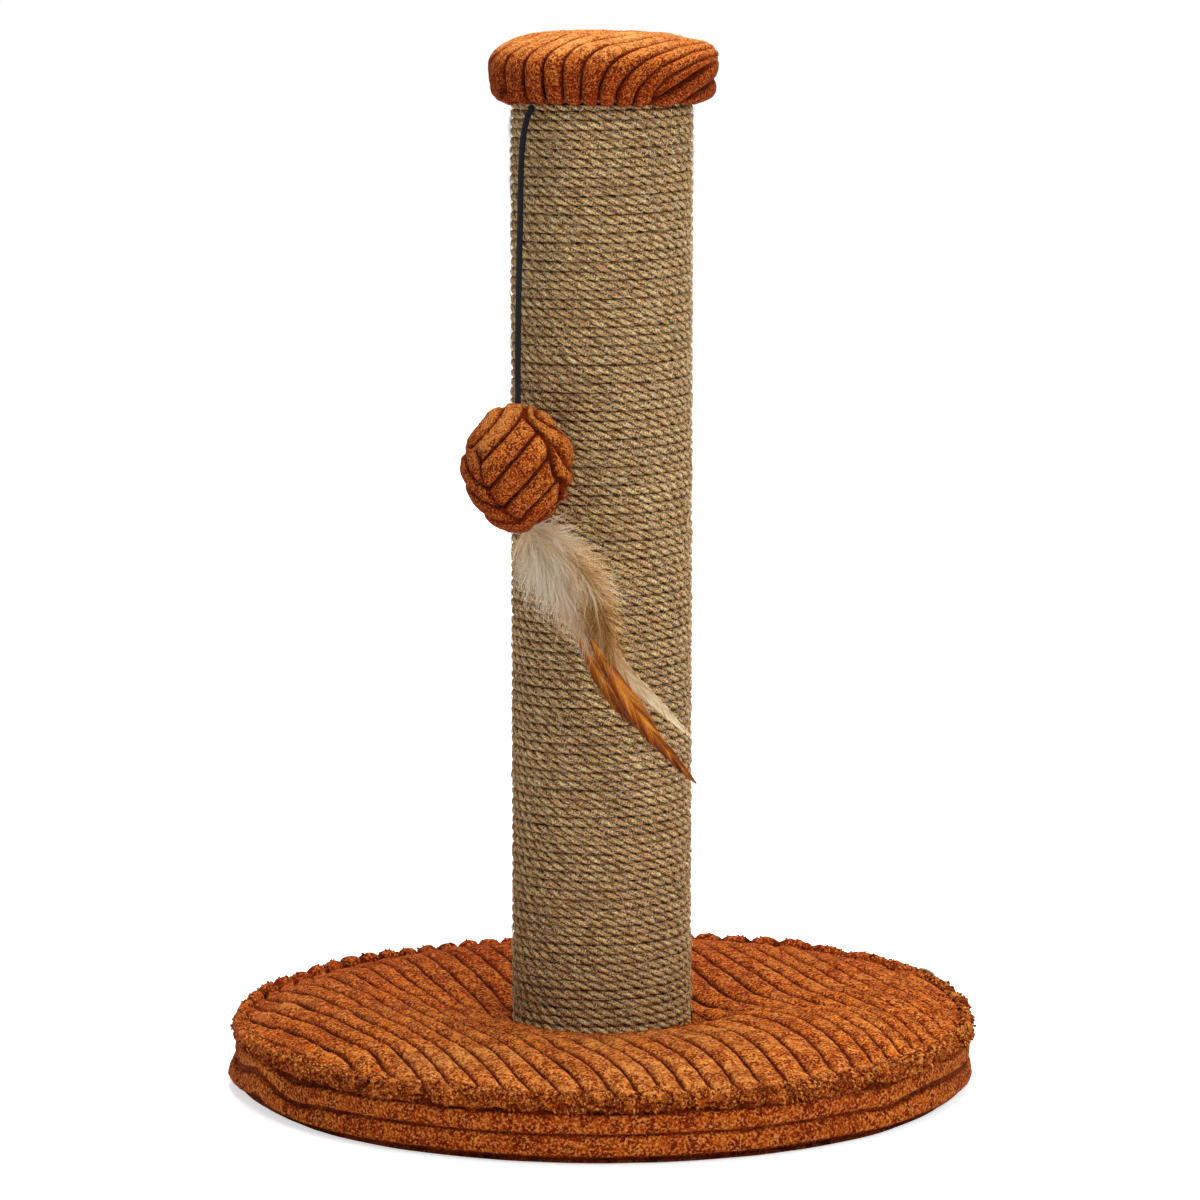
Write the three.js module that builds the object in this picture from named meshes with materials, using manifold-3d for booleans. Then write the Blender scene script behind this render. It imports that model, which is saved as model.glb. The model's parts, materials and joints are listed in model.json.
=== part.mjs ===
// Cat scratching post: a rope-wound cardboard post bolted to a round padded base, with a padded
// cap on top and a stuffed ball and feathers hanging from the cap on an elastic cord.
// Millimetres. +Z is up, -Y is the front, and the origin is the centre of the underside.

import * as THREE from 'three';
import { mergeVertices } from 'three/addons/utils/BufferGeometryUtils.js';
import Module from 'manifold-3d';

const wasm = await Module();
wasm.setup();

// ---------------------------------------------------------------- driving sizes

const CLEARANCE = 0.3; // between pieces that touch
const CLOTH = 1.2; // corduroy, backing included
const BASE_SIDES = 48; // facets round the base
const POST_SIDES = 36; // facets round the post and the cap
const SMALL_SIDES = 20; // facets round bolts, nuts and knots

// Base: a wooden disc under a foam pad, covered in corduroy.
const BASE_RADIUS = 186; // at the top seam
const BOARD_INSET = 2; // of the board and the foam, inside the top seam
const BOARD_THICKNESS = 15;
const UNDERCLOTH_THICKNESS = 1;
const UNDERCLOTH_INSET = 7; // inside the top seam
const UNDERCLOTH_HOLE = 16; // round the bolt's head
const HEM_WIDTH = 17; // of the side band, turned in under the board
const BAND_BULGE = 0.9; // of the side band, past its two edges
const BAND_ROLL = 3; // radius of the fold at the foot of the band
const SEAM_HEIGHT = 30.5; // of the top seam's upper face
const SWELL_RADIUS = 112; // where the cushion stands highest
const SWELL_HEIGHT = 41.5;
const PIT_HEIGHT = 35; // of the cushion where it meets the post
const PIT_GAP = 1.5; // between the rope and the cushion pressed in round it
const PRESSED_FOAM = 3; // thickness of the foam under the post
const CUSHION_FULLNESS = 2.2; // exponent of the cushion's curve: higher is fuller
const CUSHION_STEPS = 7; // facets from the post to the rim
const TAB_WIDTH = 12; // of the cloth tab sewn into the seam
const TAB_LENGTH = 2.4;
const TAB_THICKNESS = 1;
const TAB_ANGLE = 25; // degrees behind the right-hand side

// Post: a cardboard tube with a wooden plug in each end, wound with jute rope.
const TUBE_RADIUS = 40;
const TUBE_WALL = 3;
const ROPE_THICKNESS = 4.6;
const ROPE_CROWN = 0.8; // how far the rope's face stands out between its edges
const ROPE_LOOPS = 24; // each stands for about four turns of the rope
const ROPE_STEPS = 18; // per loop
const ROPE_GAP = 0.7; // between one loop and the next, up and down
const ROPE_START = 90; // degrees: the rope's ends lie at the back
const POST_TOP = 492.6;
const PLUG_THICKNESS = 18;

// Cap: a small wooden disc under a foam pad, covered in corduroy.
const CAP_BOARD_RADIUS = 49.5;
const CAP_BOARD_THICKNESS = 12;
const CAP_RADIUS = 56.2;
const CAP_UNDERSIDE_RADIUS = 50.5;
const CAP_UNDERSIDE_HOLE = 14; // left open by the turned-in cloth
const CAP_WIDEST_ABOVE = 13; // height of its widest ring over its underside
const CAP_HEIGHT = 33.7;
const CAP_FULLNESS = 2.8; // exponent of the cap's dome: higher is squarer

// Fasteners.
const BOLT_RADIUS = 4;
const BOLT_HEAD_RADIUS = 10;
const BOLT_HEAD_HEIGHT = 3;
const BOLT_SOCKET_RADIUS = 2.9; // of the hexagon socket, to its corners
const BOLT_SOCKET_DEPTH = 2;
const BOLT_HOLE_GAP = 0.4; // round a bolt in wood and cloth
const BASE_BOLT_LENGTH = 36;
const CAP_BOLT_LENGTH = 31;
const WASHER_RADIUS = 12;
const WASHER_THICKNESS = 1.5;
const NUT_FLANGE_RADIUS = 11;
const NUT_FLANGE_THICKNESS = 1.5;
const NUT_BARREL_RADIUS = 5.6;
const NUT_BARREL_LENGTH = 9;
const COUNTERBORE_GAP = 1.2; // round a washer or a bolt's head
const STAPLE_WIRE = 0.7;
const STAPLE_CROWN = 8;
const STAPLE_LEG = 7.2;
const BASE_STAPLES = 6;
const CAP_STAPLES = 4;

// Toy: a stuffed ball with feathers, on a cord that comes out under the cap's edge.
const TOY_ANGLE = 34; // degrees left of the front
const CORD_RADIUS = 1.5;
const CORD_STEP = 7.5; // along the cord, between rings of its tube
const CORD_SIDES = 8;
const KNOT_RADIUS = 2.6;
const BALL_RADIUS = 27.2;
const BALL_HALF_HEIGHT = 31.2;
const BALL_DROP = 172.7; // of its centre, below the cord's knot
const BALL_MOUTH = 2.4; // radius of the opening for the cord
const BALL_FOOT = 4; // radius of the opening for the feathers
const BALL_SIDES = 20;
const BALL_STEPS = 10; // facets from its foot to its top
const INNER_KNOT_RADIUS = 3.4;

// The cord's route from the knot under the cap to the ball. Heights count from the knot.
const CORD_START = [-34.3, -35.5];
const CORD_ROUTE = [
  [-37.4, -35.1, -8.0],
  [-38.9, -36.2, -18.5],
  [-39.5, -38.8, -33.0],
  [-40.0, -44.3, -61.0],
  [-40.6, -50.1, -91.0],
  [-40.9, -56.1, -121.0],
];

// ---------------------------------------------------------------- worked out from them

const boardRadius = BASE_RADIUS - BOARD_INSET;
const underclothRadius = BASE_RADIUS - UNDERCLOTH_INSET;
const hemBottom = UNDERCLOTH_THICKNESS + CLEARANCE + STAPLE_WIRE + CLEARANCE;
const boardBottom = hemBottom + CLOTH + CLEARANCE;
const boardTop = boardBottom + BOARD_THICKNESS;
const foamBottom = boardTop + CLEARANCE;
const pressedFoamTop = foamBottom + PRESSED_FOAM;
const seatHeight = pressedFoamTop + CLEARANCE + CLOTH;
const postBottom = seatHeight + CLEARANCE;

const tubeBore = TUBE_RADIUS - TUBE_WALL;
const ropeInner = (TUBE_RADIUS + CLEARANCE) / Math.cos(Math.PI / ROPE_STEPS);
const ropeOuter = ropeInner + ROPE_THICKNESS;
const pitRadius = ropeOuter + PIT_GAP;

const capBottom = POST_TOP + CLEARANCE + STAPLE_WIRE + CLEARANCE;
const capBoardBottom = capBottom + CLOTH + CLEARANCE;
const capBoardTop = capBoardBottom + CAP_BOARD_THICKNESS;
const capWidest = capBottom + CAP_WIDEST_ABOVE;
const capTop = capBottom + CAP_HEIGHT;

const boltHole = BOLT_RADIUS + BOLT_HOLE_GAP;
const washerTop = boardBottom + BOLT_HEAD_HEIGHT + CLEARANCE + WASHER_THICKNESS;
const capBoltHeadTop = capBoardTop - CLEARANCE;

const toyTurn = THREE.MathUtils.degToRad(TOY_ANGLE);
const outward = new THREE.Vector3(-Math.sin(toyTurn), -Math.cos(toyTurn), 0);
const across = new THREE.Vector3(Math.cos(toyTurn), -Math.sin(toyTurn), 0);
const outerKnot = new THREE.Vector3(...CORD_START, capBottom - CLEARANCE - KNOT_RADIUS);
const ballCentre = outward.clone().multiplyScalar(ropeOuter + CLEARANCE + BALL_RADIUS);
ballCentre.z = outerKnot.z - BALL_DROP;
const innerKnotHeight = BALL_HALF_HEIGHT - CLOTH - INNER_KNOT_RADIUS - CLEARANCE;

// ---------------------------------------------------------------- materials

function material(name, color, roughness, metalness = 0) {
  return new THREE.MeshStandardMaterial({ name, color, roughness, metalness });
}

const corduroy = material('corduroy', 0xb4562c, 0.9);
const darkCloth = material('dark_cloth', 0x2b2724, 0.95);
const tabCloth = material('tab_cloth', 0xa3a39d, 0.9);
const foam = material('foam', 0xe8dfc0, 0.95);
const fibreboard = material('fibreboard', 0xb28a5e, 0.8);
const cardboard = material('cardboard', 0x9a7650, 0.85);
const jute = material('jute', 0xb9935f, 0.95);
const steel = material('steel', 0xb8babd, 0.35, 1);
const cordCloth = material('cord_cloth', 0x16171d, 0.8);
const creamFeather = material('cream_feather', 0xe9dcc6, 0.9);
const rustFeather = material('rust_feather', 0x8f4a1c, 0.7);
const tanFeather = material('tan_feather', 0xc79a63, 0.75);

// ---------------------------------------------------------------- shapes

// A closed mesh as a solid that can be joined and cut.
function solidOf(geometry) {
  const bare = geometry.clone();
  bare.deleteAttribute('normal');
  bare.deleteAttribute('uv');
  const merged = mergeVertices(bare, 1e-5);
  const corners = Array.from(merged.index.array);
  const triangles = [];
  for (let i = 0; i < corners.length; i += 3) {
    const [a, b, c] = corners.slice(i, i + 3);
    if (a !== b && b !== c && c !== a) triangles.push(a, b, c);
  }
  return new wasm.Manifold(new wasm.Mesh({
    numProp: 3,
    vertProperties: merged.attributes.position.array,
    triVerts: Uint32Array.from(triangles),
  }));
}

function geometryOf(solid) {
  const mesh = solid.getMesh();
  const geometry = new THREE.BufferGeometry();
  geometry.setAttribute('position', new THREE.BufferAttribute(mesh.vertProperties, 3));
  geometry.setIndex(new THREE.BufferAttribute(mesh.triVerts, 1));
  geometry.computeVertexNormals();
  return geometry;
}

function cut(geometry, ...tools) {
  let solid = solidOf(geometry);
  for (const tool of tools) solid = solid.subtract(solidOf(tool));
  return geometryOf(solid);
}

// A profile of [radius, height] points, counter-clockwise, turned round the Z axis.
function turned(profile, sides) {
  const points = profile.map(([radius, height]) => new THREE.Vector2(radius, height));
  if (points[0].x > 0) points.push(points[0].clone());
  const geometry = new THREE.LatheGeometry(points, sides);
  geometry.rotateX(Math.PI / 2);
  return geometry;
}

function ring(inner, outer, bottom, top, sides) {
  return turned([[inner, bottom], [outer, bottom], [outer, top], [inner, top]], sides);
}

// Rings of points, each as long as the last, stitched into one closed skin with flat ends.
function stitched(rings) {
  const sides = rings[0].length;
  const points = rings.flat();
  const triangles = [];
  for (let r = 0; r + 1 < rings.length; r += 1) {
    for (let s = 0; s < sides; s += 1) {
      const a = r * sides + s;
      const b = r * sides + ((s + 1) % sides);
      triangles.push(a, b, b + sides, a, b + sides, a + sides);
    }
  }
  const last = points.length - sides;
  for (let s = 1; s + 1 < sides; s += 1) {
    triangles.push(0, s + 1, s, last, last + s, last + s + 1);
  }
  const geometry = new THREE.BufferGeometry().setFromPoints(points);
  geometry.setIndex(triangles);
  geometry.computeVertexNormals();
  return geometry;
}

function lerp(from, to, share) {
  return from + (to - from) * share;
}

// ---------------------------------------------------------------- staples

// A U-shaped staple, or with grow the hole that it needs. Its legs point along +Z from the crown,
// which lies along X just under the plane z = 0.
function staple(grow = 0) {
  const half = STAPLE_CROWN / 2;
  const foot = -STAPLE_WIRE - grow;
  const tip = STAPLE_LEG + grow;
  const outline = new THREE.Shape([
    new THREE.Vector2(-half - grow, foot),
    new THREE.Vector2(half + grow, foot),
    new THREE.Vector2(half + grow, tip),
    new THREE.Vector2(half - STAPLE_WIRE - grow, tip),
    new THREE.Vector2(half - STAPLE_WIRE - grow, grow),
    new THREE.Vector2(-half + STAPLE_WIRE + grow, grow),
    new THREE.Vector2(-half + STAPLE_WIRE + grow, tip),
    new THREE.Vector2(-half - grow, tip),
  ]);
  const depth = STAPLE_WIRE + 2 * grow;
  const geometry = new THREE.ExtrudeGeometry(outline, { depth, bevelEnabled: false });
  geometry.translate(0, 0, -depth / 2);
  geometry.rotateX(Math.PI / 2);
  return geometry;
}

// Under a disc: the crown lies across the radius, and the legs go up.
function stapleBelow(radius, angle, height, grow = 0) {
  const geometry = staple(grow);
  geometry.translate(0, -radius, height);
  geometry.rotateZ(angle);
  return geometry;
}

// Into the side of the post: the crown lies along the rope, and the legs go inwards.
function stapleIntoPost(angle, height, grow = 0) {
  const geometry = staple(grow);
  geometry.rotateX(-Math.PI / 2);
  geometry.translate(0, -ropeOuter - CLEARANCE, height);
  geometry.rotateZ(angle + Math.PI / 2);
  return geometry;
}

function baseStaple(index, grow = 0) {
  const angle = ((index + 0.5) / BASE_STAPLES) * Math.PI * 2;
  return stapleBelow(boardRadius - HEM_WIDTH / 2, angle, hemBottom - CLEARANCE, grow);
}

function capStaple(index, grow = 0) {
  const angle = ((index + 0.5) / CAP_STAPLES) * Math.PI * 2;
  const radius = (CAP_UNDERSIDE_HOLE + CAP_BOARD_RADIUS) / 2;
  return stapleBelow(radius, angle, capBottom - CLEARANCE, grow);
}

const baseStapleHoles = [];
for (let i = 0; i < BASE_STAPLES; i += 1) baseStapleHoles.push(baseStaple(i, CLEARANCE));

const capStapleHoles = [];
for (let i = 0; i < CAP_STAPLES; i += 1) capStapleHoles.push(capStaple(i, CLEARANCE));

// ---------------------------------------------------------------- bolts and nuts

// A flat-headed bolt along Z, with its head at the given height and its shank going up or down.
function bolt(headFace, length, direction) {
  const neck = headFace + direction * BOLT_HEAD_HEIGHT;
  const tip = headFace + direction * length;
  const profile = [
    [0, headFace],
    [BOLT_HEAD_RADIUS, headFace],
    [BOLT_HEAD_RADIUS, neck],
    [BOLT_RADIUS, neck],
    [BOLT_RADIUS, tip],
    [0, tip],
  ];
  if (direction < 0) profile.reverse();
  const socket = new THREE.CylinderGeometry(
    BOLT_SOCKET_RADIUS, BOLT_SOCKET_RADIUS, 2 * BOLT_SOCKET_DEPTH, 6,
  );
  socket.rotateX(Math.PI / 2);
  socket.translate(0, 0, headFace);
  return cut(turned(profile, SMALL_SIDES), socket);
}

// A T-nut whose flange lies on a face at the given height. Its barrel points up or down.
function teeNut(face, direction) {
  const bore = BOLT_RADIUS + CLEARANCE;
  const profile = [
    [bore, face - direction * (NUT_FLANGE_THICKNESS + CLEARANCE)],
    [NUT_FLANGE_RADIUS, face - direction * (NUT_FLANGE_THICKNESS + CLEARANCE)],
    [NUT_FLANGE_RADIUS, face - direction * CLEARANCE],
    [NUT_BARREL_RADIUS, face - direction * CLEARANCE],
    [NUT_BARREL_RADIUS, face + direction * NUT_BARREL_LENGTH],
    [bore, face + direction * NUT_BARREL_LENGTH],
  ];
  if (direction < 0) profile.reverse();
  return turned(profile, SMALL_SIDES);
}

// A wooden plug for an end of the tube, drilled for the nut's barrel and the bolt.
// The nut goes in from its inner face.
function plug(innerFace, outerFace) {
  const direction = Math.sign(outerFace - innerFace);
  const barrelHole = NUT_BARREL_RADIUS + CLEARANCE;
  const barrelEnd = innerFace + direction * (NUT_BARREL_LENGTH + CLEARANCE);
  const profile = [
    [barrelHole, innerFace],
    [tubeBore - CLEARANCE, innerFace],
    [tubeBore - CLEARANCE, outerFace],
    [boltHole, outerFace],
    [boltHole, barrelEnd],
    [barrelHole, barrelEnd],
  ];
  if (direction < 0) profile.reverse();
  return turned(profile, POST_SIDES);
}

// ---------------------------------------------------------------- base

// Height of the cushion's upper face: it swells between the post and the seam.
function cushionHeight(radius) {
  const inside = radius < SWELL_RADIUS;
  const edge = inside ? pitRadius : BASE_RADIUS;
  const edgeHeight = inside ? PIT_HEIGHT : SEAM_HEIGHT;
  const share = (radius - SWELL_RADIUS) / (edge - SWELL_RADIUS);
  return lerp(SWELL_HEIGHT, edgeHeight, share ** CUSHION_FULLNESS);
}

// The cushion's upper face from a radius by the post out to a radius by the rim, lowered by drop.
// Its facets are the same whatever the ends, so the cover and the foam lie evenly apart.
function cushionProfile(from, to, drop) {
  const facets = [];
  for (let i = 0; i <= CUSHION_STEPS; i += 1) {
    const share = (1 - Math.cos((Math.PI * i) / CUSHION_STEPS)) / 2;
    const radius = lerp(pitRadius, BASE_RADIUS, share);
    facets.push([radius, cushionHeight(radius)]);
  }
  const heightAt = (radius) => {
    const next = Math.max(1, facets.findIndex(([reach]) => reach >= radius));
    const [[near, low], [far, high]] = [facets[next - 1], facets[next]];
    return lerp(low, high, (radius - near) / (far - near));
  };
  const between = facets.map(([radius]) => radius).filter((r) => r > from && r < to);
  return [from, ...between, to].map((radius) => [radius, heightAt(radius) - drop]);
}

function baseCoverTop() {
  const upper = [
    [boltHole, seatHeight],
    [pitRadius, seatHeight],
    ...cushionProfile(pitRadius, BASE_RADIUS, 0),
  ];
  const lower = [
    [boltHole, seatHeight - CLOTH],
    [pitRadius + CLOTH, seatHeight - CLOTH],
    ...cushionProfile(pitRadius + CLOTH, BASE_RADIUS, CLOTH),
  ];
  return turned([...lower, ...upper.reverse()], BASE_SIDES);
}

function baseFoam() {
  const wall = pitRadius + CLOTH + CLEARANCE;
  const profile = [
    [boltHole, foamBottom],
    [boardRadius, foamBottom],
    ...cushionProfile(wall, boardRadius, CLOTH + CLEARANCE).reverse(),
    [wall, pressedFoamTop],
    [boltHole, pressedFoamTop],
  ];
  return turned(profile, BASE_SIDES);
}

// The side band, from the top seam down and in under the board.
function baseCoverBand() {
  const inner = boardRadius + CLEARANCE;
  const top = SEAM_HEIGHT - CLOTH - CLEARANCE;
  const steps = 3;
  const innerFace = [];
  const outerFace = [];
  for (let i = 0; i <= steps; i += 1) {
    const bulge = BAND_BULGE * Math.sin((Math.PI * i) / steps);
    const height = lerp(hemBottom + BAND_ROLL, top, i / steps);
    innerFace.push([inner + bulge, height]);
    outerFace.push([inner + CLOTH + bulge, height]);
  }
  const profile = [
    [boardRadius - HEM_WIDTH, hemBottom],
    [inner + CLOTH - BAND_ROLL, hemBottom],
    [inner + CLOTH - BAND_ROLL * 0.3, hemBottom + BAND_ROLL * 0.3],
    ...outerFace,
    ...innerFace.reverse(),
    [inner - 0.1, hemBottom + CLOTH],
    [boardRadius - HEM_WIDTH, hemBottom + CLOTH],
  ];
  return cut(turned(profile, BASE_SIDES), ...baseStapleHoles);
}

function baseBoard() {
  const counterbore = WASHER_RADIUS + COUNTERBORE_GAP;
  const profile = [
    [counterbore, boardBottom],
    [boardRadius, boardBottom],
    [boardRadius, boardTop],
    [boltHole, boardTop],
    [boltHole, washerTop + CLEARANCE],
    [counterbore, washerTop + CLEARANCE],
  ];
  return cut(turned(profile, BASE_SIDES), ...baseStapleHoles);
}

function baseSeamTab() {
  const geometry = new THREE.BoxGeometry(TAB_LENGTH, TAB_WIDTH, TAB_THICKNESS);
  const inner = boardRadius + CLEARANCE + CLOTH + BAND_BULGE + CLEARANCE;
  geometry.translate(inner + TAB_LENGTH / 2, 0, SEAM_HEIGHT - CLOTH);
  geometry.rotateZ(THREE.MathUtils.degToRad(TAB_ANGLE));
  return geometry;
}

// ---------------------------------------------------------------- post

// The rope's upper and lower edges after a number of turns. Both ends narrow to one rope's
// height, so that the winding starts and stops level with the post's ends.
const ropePitch = (POST_TOP - postBottom - 2 * ROPE_THICKNESS - ROPE_GAP) / (ROPE_LOOPS - 1);

function ropeEdges(turns) {
  const upper = postBottom + ROPE_THICKNESS + ropePitch * turns;
  const lower = upper - ropePitch + ROPE_GAP;
  return [Math.max(lower, postBottom), Math.min(upper, POST_TOP)];
}

function ropeSection(turns) {
  const angle = THREE.MathUtils.degToRad(ROPE_START) + turns * Math.PI * 2;
  const [lower, upper] = ropeEdges(turns);
  const edge = ropeOuter - ROPE_CROWN;
  const section = [
    [ropeInner, lower],
    [edge, lower],
    [ropeOuter, (lower + upper) / 2],
    [edge, upper],
    [ropeInner, upper],
  ];
  return section.map(([radius, height]) => (
    new THREE.Vector3(radius * Math.cos(angle), radius * Math.sin(angle), height)
  ));
}

function juteRope() {
  const rings = [];
  for (let i = 0; i <= ROPE_LOOPS * ROPE_STEPS; i += 1) {
    rings.push(ropeSection(i / ROPE_STEPS).reverse());
  }
  return rings;
}

// The least distance between points of loops that lie one above the other.
function leastGap(rings) {
  let least = Infinity;
  for (let i = 0; i + ROPE_STEPS < rings.length; i += 1) {
    for (const below of rings[i]) {
      for (const above of rings[i + ROPE_STEPS]) least = Math.min(least, below.distanceTo(above));
    }
  }
  return least;
}

const ropeRings = juteRope();
console.log(`least gap of the rope to itself: ${leastGap(ropeRings).toFixed(2)} mm`);

const ropeStapleTurns = 0.03;
const ropeEndAngle = THREE.MathUtils.degToRad(ROPE_START);
const ropeStapleTurn = ropeStapleTurns * Math.PI * 2;

function ropeStapleBottom(grow = 0) {
  return stapleIntoPost(ropeEndAngle + ropeStapleTurn, postBottom + ROPE_THICKNESS / 2, grow);
}

function ropeStapleTop(grow = 0) {
  return stapleIntoPost(ropeEndAngle - ropeStapleTurn, POST_TOP - ROPE_THICKNESS / 2, grow);
}

const ropeStapleHoles = [ropeStapleBottom(CLEARANCE), ropeStapleTop(CLEARANCE)];

// ---------------------------------------------------------------- cap

// The cap's outline from its lower edge to its top, moved in by inset. It starts at the
// underside's edge, or some facets up the lower roll.
function capOutline(inset, start = 0) {
  const roll = CAP_RADIUS - inset - CAP_UNDERSIDE_RADIUS;
  const rollHeight = CAP_WIDEST_ABOVE - inset;
  const domeHeight = capTop - capWidest - inset;
  const rollSteps = 3;
  const domeSteps = 6;
  const outline = [];
  for (let i = start; i < rollSteps; i += 1) {
    const angle = ((Math.PI / 2) * i) / rollSteps;
    outline.push([
      CAP_UNDERSIDE_RADIUS + roll * Math.sin(angle),
      capWidest - rollHeight * Math.cos(angle),
    ]);
  }
  for (let i = 0; i <= domeSteps; i += 1) {
    const angle = ((Math.PI / 2) * i) / domeSteps;
    outline.push([
      (CAP_RADIUS - inset) * Math.max(Math.cos(angle), 0) ** (2 / CAP_FULLNESS),
      capWidest + domeHeight * Math.sin(angle) ** (2 / CAP_FULLNESS),
    ]);
  }
  outline[outline.length - 1][0] = 0;
  return outline;
}

function capCover() {
  const profile = [
    ...capOutline(CLOTH).reverse(),
    [CAP_UNDERSIDE_HOLE, capBottom + CLOTH],
    [CAP_UNDERSIDE_HOLE, capBottom],
    ...capOutline(0),
  ];
  return cut(turned(profile, POST_SIDES), ...capStapleHoles);
}

function capFoam() {
  const inset = CLOTH + CLEARANCE;
  const outline = capOutline(inset, 1);
  const wall = CAP_BOARD_RADIUS + CLEARANCE;
  const profile = [
    [0, capBoardTop + CLEARANCE],
    [wall, capBoardTop + CLEARANCE],
    [wall, outline[0][1]],
    ...outline,
  ];
  return turned(profile, POST_SIDES);
}

function capBoard() {
  const counterbore = BOLT_HEAD_RADIUS + COUNTERBORE_GAP;
  const shelf = capBoltHeadTop - BOLT_HEAD_HEIGHT - CLEARANCE;
  const profile = [
    [boltHole, capBoardBottom],
    [CAP_BOARD_RADIUS, capBoardBottom],
    [CAP_BOARD_RADIUS, capBoardTop],
    [counterbore, capBoardTop],
    [counterbore, shelf],
    [boltHole, shelf],
  ];
  return cut(turned(profile, POST_SIDES), ...capStapleHoles);
}

// ---------------------------------------------------------------- toy

function knot(radius, centre) {
  const geometry = new THREE.SphereGeometry(radius, 12, 8);
  geometry.rotateX(Math.PI / 2);
  geometry.translate(centre.x, centre.y, centre.z);
  return geometry;
}

function toyCord() {
  const route = CORD_ROUTE.map(([x, y, up]) => new THREE.Vector3(x, y, outerKnot.z + up));
  const first = route[0].clone().sub(outerKnot).setLength(KNOT_RADIUS + CLEARANCE).add(outerKnot);
  const end = ballCentre.clone();
  end.z += innerKnotHeight + INNER_KNOT_RADIUS + CLEARANCE;
  const curve = new THREE.CatmullRomCurve3([first, ...route, end], false, 'centripetal');
  const section = new THREE.Shape();
  for (let i = 0; i < CORD_SIDES; i += 1) {
    const angle = (i / CORD_SIDES) * Math.PI * 2;
    const [x, y] = [CORD_RADIUS * Math.cos(angle), CORD_RADIUS * Math.sin(angle)];
    if (i === 0) section.moveTo(x, y);
    else section.lineTo(x, y);
  }
  const length = curve.getLength();
  console.log(`cord: ${length.toFixed(1)} mm`);
  return new THREE.ExtrudeGeometry(section, {
    steps: Math.round(length / CORD_STEP),
    extrudePath: curve,
    bevelEnabled: false,
  });
}

// The ball's skin, moved in by inset, from the opening at its foot to the one at its top.
function ballProfile(inset) {
  const from = Math.asin(BALL_FOOT / BALL_RADIUS) - Math.PI / 2;
  const to = Math.PI / 2 - Math.asin(BALL_MOUTH / BALL_RADIUS);
  const profile = [];
  for (let i = 0; i <= BALL_STEPS; i += 1) {
    const angle = lerp(from, to, i / BALL_STEPS);
    profile.push([
      (BALL_RADIUS - inset) * Math.cos(angle),
      (BALL_HALF_HEIGHT - inset) * Math.sin(angle),
    ]);
  }
  return profile;
}

function atBall(geometry) {
  geometry.translate(ballCentre.x, ballCentre.y, ballCentre.z);
  return geometry;
}

function ballCover() {
  const profile = [...ballProfile(0), ...ballProfile(CLOTH).reverse()];
  return atBall(turned(profile, BALL_SIDES));
}

// The stuffing is flat on top, where the cord's inner knot sits.
function ballStuffing() {
  const flat = innerKnotHeight - INNER_KNOT_RADIUS - CLEARANCE;
  const skin = ballProfile(CLOTH + CLEARANCE);
  const below = skin.filter(([, height]) => height < flat);
  const near = below[below.length - 1];
  const far = skin[below.length];
  const share = (flat - near[1]) / (far[1] - near[1]);
  const profile = [
    [0, below[0][1]],
    ...below,
    [lerp(near[0], far[0], share), flat],
    [0, flat],
  ];
  return atBall(turned(profile, BALL_SIDES));
}

// A point of the feathers: along the post's surface to the right, out from it, and up, all
// measured from the ball's centre.
function toyPoint([right, out, up]) {
  return ballCentre.clone()
    .addScaledVector(across, right)
    .addScaledVector(outward, out)
    .add(new THREE.Vector3(0, 0, up));
}

// A soft blade along a route. Its half-width swells and narrows by the given shares, and it is
// flat towards the post.
function blade({ route, halfWidth, halfThickness, root, tip, sides, steps }, grow = 0) {
  const curve = new THREE.CatmullRomCurve3(route.map(toyPoint), false, 'centripetal');
  const rings = [];
  for (let i = 0; i <= steps; i += 1) {
    const share = i / steps;
    const centre = curve.getPointAt(share);
    const along = curve.getTangentAt(share);
    if (i === 0) centre.addScaledVector(along, -grow);
    if (i === steps) centre.addScaledVector(along, grow);
    const widthways = outward.clone().cross(along).normalize();
    const thickways = along.clone().cross(widthways).normalize();
    const swell = Math.sin(Math.PI * share ** 0.8) ** 0.7;
    const floor = lerp(root, tip, share);
    const wide = Math.max(floor, halfWidth * swell) + grow;
    const thick = Math.max(floor * 0.6, halfThickness * swell) + grow;
    const section = [];
    for (let s = 0; s < sides; s += 1) {
      const turn = (s / sides) * Math.PI * 2;
      section.push(centre.clone()
        .addScaledVector(widthways, wide * Math.cos(turn))
        .addScaledVector(thickways, thick * Math.sin(turn)));
    }
    rings.push(section);
  }
  return stitched(rings);
}

const quillTop = -BALL_HALF_HEIGHT - CLEARANCE;

const FLUFF = {
  route: [[0, 0, quillTop], [4, -2, -44], [16, -6, -62], [38, -10, -84]],
  halfWidth: 21,
  halfThickness: 10,
  root: 2.6,
  tip: 4,
  sides: 12,
  steps: 9,
};

const LONG_FEATHER = { halfWidth: 9, halfThickness: 1.1, root: 1, tip: 0.8, sides: 6, steps: 12 };

const LONG_FEATHERS = {
  toy_feather_front: {
    ...LONG_FEATHER,
    route: [[1.4, 1.6, quillTop - 4], [12, 2, -62], [34, -4, -96], [58, -12, -118], [92, -19, -146]],
  },
  toy_feather_middle: {
    ...LONG_FEATHER,
    route: [[1.4, -1.6, quillTop - 4], [16, -3, -60], [42, -10, -88], [66, -16, -106], [88, -21, -124]],
  },
  toy_feather_rear: {
    ...LONG_FEATHER,
    halfWidth: 7,
    route: [[-1.6, 0, quillTop - 4], [2, -1, -64], [18, -7.6, -98], [44, -15, -126], [70, -21, -146]],
  },
};

function fluff() {
  const slots = Object.values(LONG_FEATHERS).map((feather) => blade(feather, CLEARANCE));
  return cut(blade(FLUFF), ...slots);
}

// ---------------------------------------------------------------- the object

const scratchingPost = new THREE.Group();

function add(name, geometry, look) {
  const mesh = new THREE.Mesh(geometry, look);
  mesh.name = name;
  scratchingPost.add(mesh);
}

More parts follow.
